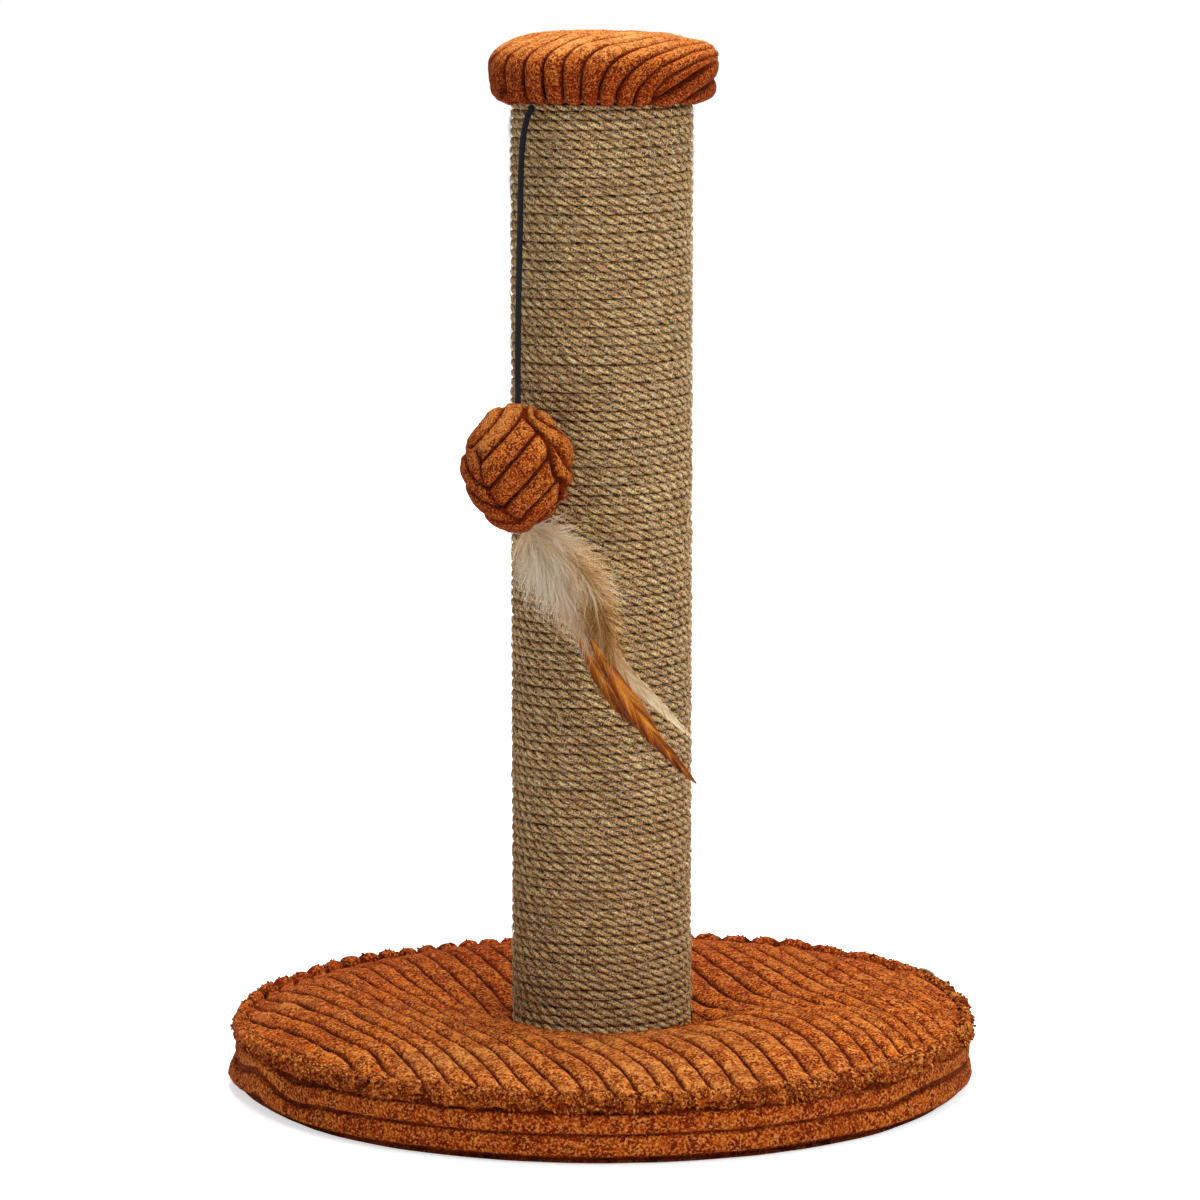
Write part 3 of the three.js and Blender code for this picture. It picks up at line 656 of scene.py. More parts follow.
LOOKS = {
    "corduroy": corduroy_material("corduroy", 5.0),
    "small_corduroy": corduroy_material("small_corduroy", 3.6),
    "jute": jute_material(),
    "jute_fibre": fibre_material("jute_fibre", ["7a5e38", "c0a274", "fbeac4"]),
    "cord_cloth": cord_material(),
    "steel": steel_material(),
    "fibreboard": fibreboard_material(),
    "cardboard": cardboard_material(),
    "dark_cloth": under_cloth_material(),
    "foam": foam_material(),
    "tab_cloth": tab_material(),
    "cream_feather": fibre_material("cream_feather", ["fff2dc", "f2d09a", "c88c3c", "844812"], 0.75),
    "rust_feather": fibre_material("rust_feather", ["f0a43c", "ba600e", "7c3606", "2e1002"], 0.45),
    "tan_feather": fibre_material("tan_feather", ["fbe8c0", "dcb478", "a8743a", "6a4018"], 0.6),
}
for row in frame["record"]["subparts"]:
    for socket in frame["nodes"][row["node"]].material_slots:
        socket.material = LOOKS[row["material_slot"]]

# ---- camera

FOCAL_PIXELS = 5610
FRAME_PIXELS = 1200
SENSOR_WIDTH = 36

camera_data = bpy.data.cameras.new("camera")
camera_data.sensor_width = SENSOR_WIDTH
camera_data.lens = SENSOR_WIDTH * FOCAL_PIXELS / FRAME_PIXELS
camera_data.clip_end = 20
camera = add_object("camera", camera_data)
camera.location = (-0.00088, -2.777, 0.6517)
camera.rotation_euler = (math.radians(90 - 8.35), 0, 0)
bpy.context.scene.camera = camera

# ---- the toy's cord


def toy_cord():
    rings, sides = 90, 14
    path = spline(CORD_ROUTE, rings)
    points, faces = tube(path, CORD_RADIUS, sides)
    run = np.repeat(np.arange(rings) / (rings - 1), sides)
    turn = np.tile(np.arange(sides) / sides, rings)
    values = {"braid_along": run * 60, "braid_around": np.abs(2 * turn - 1) * 6}
    return path, make_piece(
        "toy_cord_line", points, faces, "cord_cloth", None, values, ["toy_cord"]
    )


def knot(name, centre, radius, body, node, cord_end):
    """A small overhand knot: one strand wound in a tight trefoil, with the cord's end in it."""
    steps, sides, end_steps = 90, 10, 5
    t = round_angles(steps)
    size = (radius - KNOT_CORD_RADIUS) / 3
    x = size * (np.sin(t) + 2 * np.sin(2 * t))
    y = size * (np.cos(t) - 2 * np.cos(2 * t))
    path = points_at(x, y, -size * 1.6 * np.sin(3 * t))
    tangent = directions(np.roll(path, -1, 0) - np.roll(path, 1, 0))
    side = directions(np.cross(tangent, directions(path) + 0.01))
    thick = KNOT_CORD_RADIUS * radius / KNOT_RADIUS
    strand = (sweep(path, side, np.cross(side, tangent), thick, sides) + centre).reshape(-1, 3)
    faces = quads(steps, sides, wrap_columns=True, wrap_rows=True).tolist()
    end, end_faces = tube(np.linspace(centre, cord_end, end_steps), CORD_RADIUS, sides)
    faces += [[i + len(strand) for i in face] for face in end_faces]
    along = [np.repeat(t * 5, sides), np.repeat(np.arange(float(end_steps)), sides)]
    around = np.tile(np.abs(round_angles(sides) - math.pi) * 2, steps + end_steps)
    values = {"braid_along": np.concatenate(along), "braid_around": around}
    return make_piece(name, np.vstack([strand, end]), faces, "cord_cloth", body, values, [node])


cord_path, cord_line = toy_cord()
top_knot = knot(
    "toy_top_knot", OUTER_KNOT, OUTER_KNOT_RADIUS, "cord_knot", "toy_cord_knot", cord_path[0]
)
ball_knot = knot(
    "toy_ball_knot", INNER_KNOT, INNER_KNOT_RADIUS, "inner_knot", "toy_inner_knot", cord_path[-1]
)
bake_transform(cord_line)

# ---- base


def rim_drop(x, y):
    """How far the rim lies under its even height: low at the back left, high at the right."""
    low = 3.4 * smooth(60, -60, x) * smooth(-150, 20, y)
    return low - 1.4 * bell(np.arctan2(y, x), math.radians(28), math.radians(26))


def cushion_height(radius):
    """The cushion's smooth upper face, between the post and the rim's stitches."""
    inside = radius < SWELL_RADIUS
    edge = np.where(inside, PIT_RADIUS, STITCH_RADIUS)
    low = np.where(inside, PIT_HEIGHT, STITCH_HEIGHT + 2.2)
    share = unit((radius - SWELL_RADIUS) / (edge - SWELL_RADIUS))
    return mix(SWELL_HEIGHT, low, share**2.3)


def wale_shift(across, x, y):
    """How far the ribs are pushed sideways, in mm: round the post, by the rim and at random."""
    pinch = 12 * bell(across, 60, 52) * smooth(10, -45, y) * (1 - 0.45 * smooth(-60, -170, y))
    pinch = pinch - 6 * bell(across, 62, 34) * bell(y, 30, 40)
    left_front = 10 * smooth(-70, -165, across) * smooth(10, -120, y)
    left_back = -6 * bell(across, -60, 40) * bell(y, 20, 60)
    right_back = -9 * smooth(70, 150, across) * bell(y, 60, 60)
    spots = points_at(x, y)
    wobble = 1.6 * noise(spots, 58, 3) + 0.7 * noise(spots, 19, 4)
    return pinch + left_front + left_back + right_back + wobble


def wale_phase_at(x, y):
    """Which rib lies at a point of the base, found by undoing the sideways push."""
    across = x * math.cos(WALE_LEAN) + y * math.sin(WALE_LEAN)
    guess = across
    for _ in range(6):
        guess = across - wale_shift(guess, x, y)
    return guess / WALE


def wale_grid():
    """Rows of points along the ribs: each row's even place, in mm, and its points' x and y."""
    offsets = np.array([0.0, 0.035, 0.08, 0.16, 0.32, 0.5, 0.68, 0.84, 0.92, 0.965])
    wales = int(STITCH_RADIUS / WALE) + 3
    phase = (np.arange(-wales, wales)[:, None] + offsets).ravel()
    even = np.linspace(-1, 1, 320)
    closer_at_ends = np.sin(even * math.pi / 2 * 0.9) / math.sin(math.pi / 2 * 0.9)
    first, along = np.meshgrid(phase * WALE, mix(even, closer_at_ends, 0.5), indexing="ij")
    across = first.copy()
    limit = STITCH_RADIUS - 0.05
    for _ in range(5):
        reach = np.sqrt(np.maximum(STITCH_RADIUS**2 - np.clip(across, -limit, limit) ** 2, 0))
        q = along * reach
        x = across * math.cos(WALE_LEAN) + q * math.sin(WALE_LEAN)
        y = across * math.sin(WALE_LEAN) - q * math.cos(WALE_LEAN)
        across = first + wale_shift(first, x, y)
    keep = np.all(np.abs(across) < limit, axis=1)
    return first[keep], x[keep], y[keep]


def cushion_puff(x, y, radius):
    """How far the filled cloth rises over its even form, between the post and the stitches."""
    hole, foot = BOLT_HOLE_RADIUS, FOAM_BOTTOM
    outer = np.linspace(PIT_RADIUS, STITCH_RADIUS, 24)
    profile = [(hole, SEAT_HEIGHT), (PIT_RADIUS - 4, SEAT_HEIGHT)]
    profile += list(zip(outer, cushion_height(outer) - 1.0))
    profile += [(STITCH_RADIUS, foot), (hole, foot)]
    sides = 96
    points = np.vstack([ring(r, round_angles(sides), z) for r, z in profile])
    faces = quads(len(profile), sides, wrap_columns=True, wrap_rows=True).tolist()

    def held(p):
        r = np.hypot(p[:, 0], p[:, 1])
        return (r < PIT_RADIUS + 3) | (r > STITCH_RADIUS - 6) | (p[:, 2] < SEAT_HEIGHT + 3)

    tree = puff(points, faces, held)
    if tree is None:
        return 0
    above = 80.0
    found = above - depths(tree, points_at(x, y, above), above - foot)
    rise = np.clip(found - (cushion_height(radius) - 1.0), -3, CLOTH_TRAVEL)
    inside = smooth(PIT_RADIUS, PIT_RADIUS + 8, radius)
    inside = inside * smooth(STITCH_RADIUS - 1, STITCH_RADIUS - 9, radius)
    rise = soften(rise, 15, 17)
    return CLOTH_SHARE * (rise - rise[inside > 0.9].mean()) * inside


def gold_and_light_at(x, y, z):
    """How golden the nap looks, as painted light: more golden to the front and right, towards the key
    lamp. The nap also lies one way at the front and the other at the back.
    """
    drift = 0.22 * noise(points_at(x, y, z), 30, 11)
    return unit(0.62 - y / 300 + 0.12 * x / BASE_RADIUS + drift)


def base_cushion():
    """A disc of ribs that follow the cloth, drawn down round the post and at the rim."""
    first, x, y = wale_grid()
    radius = np.hypot(x, y)
    spots = points_at(x, y)
    z = cushion_height(radius)
    for depth, dent_x, dent_y, width in CUSHION_DENTS:
        z = z - depth * bell(np.hypot(x - dent_x, y - dent_y), 0, width)
    z = z + 0.8 * noise(spots, 55, 8) * smooth(STITCH_RADIUS, 150, radius)
    z = z + cushion_puff(x, y, radius) - rim_drop(x, y) * smooth(130, STITCH_RADIUS - 4, radius)
    z = z - 1.6 * smooth(62, PIT_RADIUS, radius)
    phase = first / WALE + 1e-9
    nose = np.sqrt(unit(1 - 0.8 * smooth(STITCH_RADIUS - 5, STITCH_RADIUS, radius) ** 2))
    pressed = 1 - 0.35 * smooth(58, PIT_RADIUS, radius)
    lift = rib(phase, 3.8) * nose * pressed * (1 + 0.14 * noise(spots, 20, 5))
    z = z + WALE_DEPTH * (lift - 0.6) * smooth(PIT_RADIUS - 3, PIT_RADIUS, radius)
    rough = 1 + 1.6 * smooth(150, 178, radius) * smooth(60, -90, y)
    z = z + (0.32 * noise(spots, 2.4, 6) + 0.3 * noise(spots, 4.5, 7)) * lift * rough
    z = np.where(radius < PIT_RADIUS - 1, SEAT_HEIGHT, z)
    faces = quads(*x.shape)
    faces = faces[radius.reshape(-1)[faces].mean(axis=1) > BOLT_HOLE_RADIUS]
    # Painted shade: dark in the grooves, where the ribs are drawn down at the rim and pressed by the
    # post, and in the low spots of the 4.5 mm lumps.
    pile_and_shade = line(rib(phase, 4.5)) * unit(0.45 + 0.65 * lift)
    values = {
        "pile_and_shade": pile_and_shade * (1 - 0.4 * smooth(-0.05, -0.45, noise(spots, 4.5, 7))),
        "gold_and_light": gold_and_light_at(x, y, z),
        # Paler towards the front, where the key lamp shines, as painted highlight, and in random
        # patches.
        "pale": unit(0.30 * smooth(-40, -150, y) + 0.25 * noise(spots, 22, 12) - 0.05),
    }
    piece = make_piece(
        "base_cushion", points_at(x, y, z), faces, "corduroy", values=values,
        replaces=["base_cover_top", "base_foam"],
    )


def base_lip():
    """The seam's upstanding edge: a bead at each rib of the top, and at the front a frayed roll."""
    columns, sides = 1300, 18
    theta, turn = round_angles(columns), round_angles(sides)
    spots = ring(STITCH_RADIUS, theta)
    rim_x, rim_y = spots[:, 0], spots[:, 1]
    phase = wale_phase_at(rim_x, rim_y)
    crossing = unit(np.abs(np.sin(theta - WALE_LEAN)) * 1.5)
    beads = rib(phase, 2.2)
    front = smooth(40, -110, rim_y - 0.5 * np.maximum(rim_x, 0) + 0.3 * np.maximum(-rim_x, 0))
    clumps = noise(points_at(phase, 0) * 0.99 + 0.5, 1, 28)
    size = 0.42 + (0.70 + 0.15 * clumps) * beads
    bead = mix(1, size, crossing * (1 - 0.85 * front))
    centre_r = mix(182.6, 183.6, front) + 0.6 * noise(spots, 24, 22)
    centre_r = centre_r + 0.9 * front * noise(spots, 7, 21)
    centre_z = mix(32.8, 29.8, front) - rim_drop(rim_x, rim_y)
    centre_z = centre_z + 0.8 * noise(spots, 33, 23) + 0.8 * front * noise(spots, 9, 27)
    wide = (mix(3.8, 3.0, front) + 0.4 * noise(spots, 11, 24)) * bead
    tall = (mix(5.0, 4.9, front) + 0.7 * noise(spots, 8, 25) * front) * bead
    t, u = np.meshgrid(theta, turn, indexing="ij")
    radius = centre_r[:, None] + wide[:, None] * np.cos(u)
    points = ring(radius, t, centre_z[:, None] + tall[:, None] * np.sin(u))
    fray = front[:, None]
    shove = noise(points, 2.4, 26) * mix(0.5, 1.1, fray) + 1.9 * fray * noise(points, 4.8, 29)
    outwards = ring(np.cos(u), t, np.sin(u))
    points = points + outwards * shove[..., None]
    # Painted shade: dark between the beads, on the roll's underside and where the cloth is pushed in.
    # Painted top light: more golden and paler on its upper side.
    pile_and_shade = mix(1.0, beads**1.5, crossing * (1 - 0.8 * front))[:, None]
    pile_and_shade = pile_and_shade * (0.78 + 0.30 * np.sin(u)) * (1 + 0.38 * np.clip(shove, -2, 0))
    gold_and_light = gold_and_light_at(points[..., 0], points[..., 1], points[..., 2]) + 0.35 * fray * np.sin(u)
    values = {"pile_and_shade": unit(pile_and_shade), "gold_and_light": unit(gold_and_light), "pale": unit(0.25 * fray * np.sin(u))}
    faces = quads(columns, sides, wrap_columns=True, wrap_rows=True)
    make_piece("base_seam_lip", points, faces, "corduroy", values=values)
    lip_tufts(points, outwards, bead, front, gold_and_light)


def lip_tufts(points, outwards, bead, front, gold_and_light):
    """Short tufts of nap that stand off the cut edge in clumps, with painted shade at their roots."""
    draw = np.random.default_rng(6)
    count, steps = 9000, 4
    column = draw.integers(0, len(points), count)
    column = column[draw.random(count) < mix(0.2, 1.0, front[column]) * (bead[column] > 0.8)]
    side = draw.integers(0, points.shape[1], len(column))
    roots, lean = points[column, side], outwards[column, side]
    visible = (lean[:, 2] > -0.55) & (roots[:, 2] > TUFT_LOWEST)
    roots, lean, gold_and_light = roots[visible], lean[visible], gold_and_light[column, side][visible]
    count = len(roots)
    swirl = np.stack([noise(roots, 5.5, seed) for seed in (81, 82, 83)], axis=1)
    lean = directions(lean + 1.2 * swirl + draw.normal(0, 0.3, (count, 3)))
    reach = draw.uniform(1.0, 2.2, count) * mix(0.5, 1.0, front[column][visible])
    t = np.linspace(0, 1, steps)
    paths = roots[:, None] + lean[:, None] * (reach[:, None] * t)[..., None]
    paths = paths - UP * (0.5 * reach[:, None] * t**2)[..., None]
    widths = draw.uniform(1.2, 2.0, count)[:, None] * (1 - 0.4 * t)
    tufts, faces = strands(paths, widths, 0.8)
    clump = noise(roots, 4.0, 84)
    # Darker at the roots: painted shade between the tufts.
    pile_and_shade = unit(0.3 + 0.4 * clump[:, None] + draw.normal(0, 0.15, (count, 1)) + 0.8 * t)
    values = {
        "pile_and_shade": np.repeat(pile_and_shade.ravel(), 3),
        "gold_and_light": np.repeat(unit(gold_and_light + 0.15), steps * 3),
        "pale": np.repeat(unit(0.05 + 0.3 * clump), steps * 3),
    }
    make_piece("base_seam_pile", tufts, faces, "corduroy", values=values)


def side_band():
    """The band round the rim: two level ribs, then the edge turned in under the board."""
    columns = 900
    theta = round_angles(columns)
    heights = np.concatenate([np.linspace(BAND_TOP, 2.4, 40), [1.6, 1.0, 0.6]])
    spots = ring(BASE_RADIUS, theta)
    drift = 0.7 * noise(spots, 46, 31) + 0.35 * noise(spots, 16, 32)
    turn = np.degrees(np.where(theta > 1.5 * math.pi, theta - FULL_TURN, theta))
    waves = sum(height * bell(turn, place, width) for height, place, width in BAND_WAVES)
    left_end, right_end = bell(turn, 187, 9), bell(turn, -8, 10)
    ends = unit(bell(turn, 200, 22) + bell(turn, -18, 22))
    rows = []
    piles = []
    for z in heights:
        moved = z + drift - waves * smooth(2, 11, z) * smooth(31, 22, z)
        upper = rib((moved - BAND_GROOVE) / (BAND_RIB_TOP - BAND_GROOVE), 5)
        lower = rib((moved - STRIP_TOP) / (BAND_GROOVE - STRIP_TOP), 5)
        # The turned-under strip is kept dark, at 0.3 of a rib: painted shade.
        strip = rib((moved - STRIP_TOP + 10) / 10, 3.0) * 0.3
        pile_and_shade = np.where(moved > BAND_GROOVE, upper, np.where(moved > STRIP_TOP, lower, strip))
        # Under the frayed edge the band is dark, as painted shadow of the lip, except near 192 degrees.
        pile_and_shade = np.where(moved > BAND_RIB_TOP, 0.8 * bell(turn, 192, 16), pile_and_shade)
        tuck = smooth(STRIP_TOP + 0.6, STRIP_TOP - 1.4, z) * (1 + 1.2 * ends)
        radius = BAND_RADIUS - 2.8 + 2.9 * pile_and_shade - 2.0 * tuck - 0.4 * smooth(26, BAND_TOP, z)
        radius = radius + 0.5 * noise(spots + UP * z, 15, 33)
        crease = ends * bell(moved, BAND_GROOVE, 1.3)
        # Painted shade in the crease.
        pile_and_shade = pile_and_shade * (1 - crease)
        radius = radius - 4.0 * crease + (3.2 * left_end + 1.4 * right_end) * bell(z, 7, 3.6)
        radius = radius - 1.3 * left_end * smooth(10, 14, z)
        rows.append(ring(radius, theta, z))
        piles.append(line(pile_and_shade) if z > 2 else pile_and_shade)
    # The fold and the hem underneath are kept dark, at 0.35 and 0.2: painted shade.
    for radius in np.linspace(BAND_FOLD_RADIUS, HEM_RADIUS, 9):
        z = 1.5 + 0.8 * smooth(BAND_FOLD_RADIUS, 178, radius) + 0.09 * noise(spots, 9, 34)
        rows.append(ring(radius, theta, z))
        piles.append(np.full(columns, 0.35))
    for radius, z in ((HEM_RADIUS, 3.4), (184.1, 3.5), (184.2, BAND_TOP)):
        rows.append(ring(radius, theta, z))
        piles.append(np.full(columns, 0.2))
    points = np.array(rows)
    pile_and_shade = np.array(piles)
    shove = 0.35 * noise(points, 2.4, 35) * (pile_and_shade > 0.3)
    points = points + ring(shove, theta)
    faces = quads(len(rows), columns, wrap_columns=True, wrap_rows=True)[:, ::-1]
    # Kept low so the upright band stays redder than the top: painted shade on an upright face. More
    # golden towards its ends.
    gold_and_light = 0.3 * gold_and_light_at(points[..., 0], points[..., 1], points[..., 2])
    gold_and_light = gold_and_light + 0.3 * noise(points, 12, 36) + 0.08 + 0.25 * ends
    piece = make_piece(
        "base_side_band", points, faces, "corduroy", values={"pile_and_shade": pile_and_shade, "gold_and_light": unit(gold_and_light)},
        replaces=["base_cover_band"],
    )


def underside_cloth():
    """The dust cloth under the base, slightly slack between its fixings."""
    columns, thickness = 180, 0.6
    theta = round_angles(columns)
    inner = np.linspace(UNDERSIDE_HOLE + 1, UNDERSIDE_RADIUS - 1, 60)
    radii = np.concatenate([[UNDERSIDE_HOLE], inner, [UNDERSIDE_RADIUS]])
    rows = []
    for height, order in ((0.0, radii), (thickness, radii[::-1])):
        for radius in order:
            spots = ring(radius, theta)
            slack = 0.18 + 0.16 * noise(spots, 26, 41)
            rows.append(spots + UP * (slack + height)[:, None])
    faces = quads(len(rows), columns, wrap_columns=True, wrap_rows=True)
    piece = make_piece(
        "base_underside_cloth", np.array(rows), faces, "dark_cloth", replaces=["base_bottom_cloth"]
    )


def seam_tab():
    """A short bare cloth tab, folded over and sewn into the rim's seam."""
    outwards = ring(1, TAB_ANGLE)
    sideways = ring(1, TAB_ANGLE + math.pi / 2)
    section = np.array(TAB_OUTSIDE + TAB_INSIDE)
    shares = np.linspace(-0.5, 0.5, 13)[:, None, None]
    sag = 0.5 * (shares * 2) ** 2
    radius, z = section[:, :1], section[:, 1:]
    points = outwards * radius + sideways * (shares * TAB_WIDTH) + UP * (z - sag)
    faces = tube_faces(len(shares), len(section))
    make_piece("seam_tab", points, faces, "tab_cloth", replaces=["base_seam_tab"])


base_cushion()
base_lip()
side_band()
underside_cloth()
seam_tab()

# ---- post


def post_rope():
    """The rope, wound up the post. Each column of points follows a valley or a crest between its
    twisted strands."""
    turns = (ROPE_TOP - POST_BOTTOM) / ROPE_PITCH
    length_per_turn = FULL_TURN * ROPE_CENTRE
    columns = int(turns * length_per_turn / ROPE_LAY * ROPE_STEPS)
    face_angles = np.radians([-78, -46, -15, 15, 46, 78])
    sides = len(face_angles)
    index = np.arange(columns)
    run, phi = np.meshgrid(index * ROPE_LAY / ROPE_STEPS, face_angles, indexing="ij")
    strand = run / ROPE_LAY * ROPE_STRANDS
    run = run - phi / FULL_TURN * ROPE_LAY
    theta = run / ROPE_CENTRE + math.pi / 2
    crest = STRAND_CRESTS[index % len(STRAND_CRESTS)][:, None]
    turn_of = run / length_per_turn
    spots = points_at(run / 26, turn_of * 3.1)
    whole = np.floor(strand)
    swell = 1 + 0.05 * noise(spots, 1, 51) + 0.05 * noise(points_at(whole, whole, whole), 1, 52)
    ragged = 0.16 * noise(points_at(run / 1.9, phi * 1.6, turn_of * 3.7), 1, 55)
    radius = ROPE_RADIUS * (swell + ragged) * (0.70 + 0.30 * crest)
    wander = 0.38 * noise(spots * 0.6, 1, 53)
    z = POST_BOTTOM + ROPE_PITCH / 2 + turn_of * ROPE_PITCH + wander
    z = np.clip(z + radius * (0.9 + 0.12 * crest) * np.sin(phi), POST_BOTTOM, ROPE_TOP)
    out = ROPE_CENTRE + 0.32 * noise(spots * 0.5, 1, 54) + radius * np.cos(phi)
    grid = np.arange(columns * sides).reshape(columns, sides)
    foot, top = grid[:, 0], grid[:, -1]
    step = int(round(length_per_turn / ROPE_LAY * ROPE_STEPS))
    to_next_turn = np.stack([top[: -step - 1], top[1:-step], foot[step + 1 :], foot[step:-1]], axis=-1)
    faces = np.vstack([quads(columns, sides)[:, [0, 3, 2, 1]], to_next_turn])
    values = {
        # Low in the valleys and towards the edges where turns meet: painted shade.
        "crest": unit(crest + 0.8 * ragged) * (0.60 + 0.40 * np.cos(phi * 1.05)),
        "fibre_across": strand * 7.0,
        "fibre_along": run * 0.16,
    }
    make_piece(
        "post_rope", ring(out, theta, z), faces, "jute", values=values, replaces=["jute_rope"]
    )


def rope_fibres():
    """Loose ends of jute that stand off the rope. There are none where the ball turns."""
    draw = np.random.default_rng(7)
    count, steps = 14000, 3
    theta = draw.uniform(0, FULL_TURN, count)
    z = draw.uniform(POST_BOTTOM + 12, POST_TOP - 3, count)
    length = draw.uniform(2, 7, count)
    heading = draw.normal(0.0, 0.7, count) + np.where(draw.random(count) < 0.5, 0, math.pi)
    rise = draw.uniform(0.0, 0.28, count)
    curl = draw.normal(0, 0.6, count)
    tones = draw.uniform(0.1, 1.0, count)
    t = np.linspace(0, 1, steps)[None]
    turned_by = heading[:, None] + curl[:, None] * t
    step = length[:, None] / (steps - 1)
    along = (np.cumsum(np.cos(turned_by), axis=1) - np.cos(turned_by)) * step
    up = (np.cumsum(np.sin(turned_by), axis=1) - np.sin(turned_by)) * step
    out = ROPE_FACE + rise[:, None] * length[:, None] * t * (1.3 - 0.5 * t)
    height = np.clip(z[:, None] + up, POST_BOTTOM + 10, POST_TOP - 1)
    paths = ring(out, theta[:, None] + along / ROPE_FACE, height)
    toy_side = np.cos(theta - math.atan2(BALL_CENTRE[1], BALL_CENTRE[0]))
    clear = (toy_side < 0.9) | (np.abs(z - BALL_CENTRE[2]) > BALL_HALF_HEIGHT + 4)
    points, faces = strands(paths[clear], 0.24 - 0.14 * t, 0.8)
    values = {"tone": np.repeat(tones[clear], steps * 3)}
    make_piece("post_rope_fibres", points, faces, "jute_fibre", values=values)


post_rope()
rope_fibres()

# ---- cap


def cap_profile():
    """Radius and height of each ring, from the middle of the top to the hem below."""
    power = 2 / CAP_ROUNDNESS
    rows = []
    for angle in np.linspace(math.pi / 2, 0, 62):
        out = CAP_RADIUS * max(math.cos(angle), 0) ** power
        rows.append((out, CAP_WIDEST + (CAP_TOP - CAP_WIDEST) * math.sin(angle) ** power))
    for angle in np.linspace(0, math.pi / 2, 20)[1:]:
        out = CAP_FOOT_RADIUS + (CAP_RADIUS - CAP_FOOT_RADIUS) * math.cos(angle)
        rows.append((out, CAP_WIDEST - CAP_FOOT_DROP * math.sin(angle)))
    rows += [(radius, CAP_UNDERSIDE) for radius in np.linspace(50, 15, 12)]
    rows = np.array(rows)
    run = np.concatenate([[0], np.cumsum(np.hypot(*np.diff(rows, axis=0).T))])
    coarse = run[-1] - 28  # the hem needs few rings
    stops = np.concatenate([[0.4], np.arange(1.0, coarse, 0.85), np.linspace(coarse, run[-1], 9)])
    return np.interp(stops, run, rows[:, 0]), np.interp(stops, run, rows[:, 1])


def cap_ribs(x, y, z):
    """Ribs of the cap: upright on the front, swept to the back right over the top, with a twisted
    roll under a deep crease at the right."""
    reach = np.maximum(np.hypot(x, y), CAP_RADIUS)
    behind = y + np.sqrt(np.maximum(reach**2 - x**2, 0))
    swept = x - 0.62 * np.maximum(behind, 0) - 0.45 * np.maximum(x + 12, 0) * smooth(497, 522, z)
    spots = points_at(x, y, z)
    ribs = rib(swept / CAP_WALE + 0.18 + 0.09 * noise(spots, 15, 61), 3.6)
    crease = (z - 498.5) - 0.63 * (x - 31)
    across_crease = crease * 0.85
    roll = rib(across_crease / CAP_ROLL_WALE + 0.05 * noise(spots, 8, 65), 2.6)
    twisted = (x > 22) & (y < 20) & (crease < 0)
    deep = 0.9 * bell(across_crease, 0, 1.1)
    deep = deep * smooth(22, 32, x) * smooth(56, 48, x) * smooth(24, 10, y)
    ribs = np.where(twisted, roll, ribs) * (1 - deep)
    even = 0.55 * smooth(44, 54, x) + 0.5 * smooth(-42, -50, x) * smooth(496, 504, z)
    return np.maximum(ribs, even), deep


def cap_cushion():
    """The cap's cover, stuffed over its board and drawn in under it."""
    columns = 520
    radius, height = cap_profile()
    t, r = np.meshgrid(round_angles(columns), radius, indexing="xy")
    z = np.broadcast_to(height[:, None], r.shape)
    spots = ring(r, t, z)
    folded = np.maximum(CAP_WIDEST - z, 0) * smooth(-10, 20, spots[..., 1])
    wall_r = np.where(z < CAP_WIDEST + 0.1, CAP_RADIUS + folded, r)
    ribs, deep = cap_ribs(wall_r * np.cos(t), wall_r * np.sin(t), z)
    below = smooth(502, 496, z)
    wall = smooth(511, 504, z)
    under = smooth(49, 44, r) * (z < 500)
    depth = 2.6 + 1.4 * smooth(520, 500, z)
    lump = 0.9 * noise(spots, 17, 62) + 0.3 * noise(spots, 2.4, 63) * ribs
    pinched = 2.0 * noise(spots * np.array([1, 1, 0.3]), 4.5, 66) * bell(t, math.radians(212), 0.3)
    # Painted shade in the pinched folds.
    crease_shade = 1 - 0.75 * smooth(-0.2, -0.8, pinched) * wall
    lift = depth * (ribs - 0.80) + lump + 1.0 * below * ribs - 1.6 * deep + pinched * wall
    lift = lift + 2.6 * bell(spots[..., 0], 53, 7) * smooth(507, 516, z)
    lift = lift - 0.8 * smooth(0.3, -0.9, np.cos(t)) * smooth(516, 500, z)
    points = spots + normals_of(spots) * (lift * (1 - under))[..., None]
    z = points[..., 2]
    points[..., 2] = np.where((r < 46.5) & (spots[..., 2] < 500), np.maximum(z, 493.2), z)
    z = points[..., 2]
    values = {
        # Painted shade in the grooves, underneath and in the folds. Painted top light: more golden
        # higher up and paler on the top.
        "pile_and_shade": line(ribs) * unit(0.4 + 0.6 * ribs) * (1 - 0.5 * under) * crease_shade,
        "gold_and_light": unit((z - 507) / 14 + 0.35 * noise(spots, 12, 64)),
        "pale": unit(smooth(514, 525, z) * (0.5 + 0.3 * noise(spots, 14, 67))),
    }
    faces = quads(len(radius), columns, wrap_columns=True)[:, ::-1]
    piece = make_piece(
        "cap_cushion", points, faces, "small_corduroy", values=values,
        replaces=["cap_cover", "cap_foam"],
    )


cap_cushion()

# ---- ball


def back_panels(d):
    """Ribs of the ball's back: each panel's ribs lie across those of the panels beside it."""
    dx, dy, dz = d[..., 0], d[..., 1], d[..., 2]
    size = np.sort(np.abs(d), axis=-1)
    seam = smooth(0.0, 0.12, size[..., 2] - size[..., 1])
    on_side = np.abs(dx) >= size[..., 2]
    on_end = np.abs(dz) >= size[..., 2]
    across = np.where(on_side, np.arctan2(dz, np.abs(dx)), np.arctan2(dx, dy))
    across = np.where(on_end, np.arctan2(dy, np.abs(dz)), across)
    return rib(across * BALL_RADIUS / BALL_WALE, 4.2) * seam


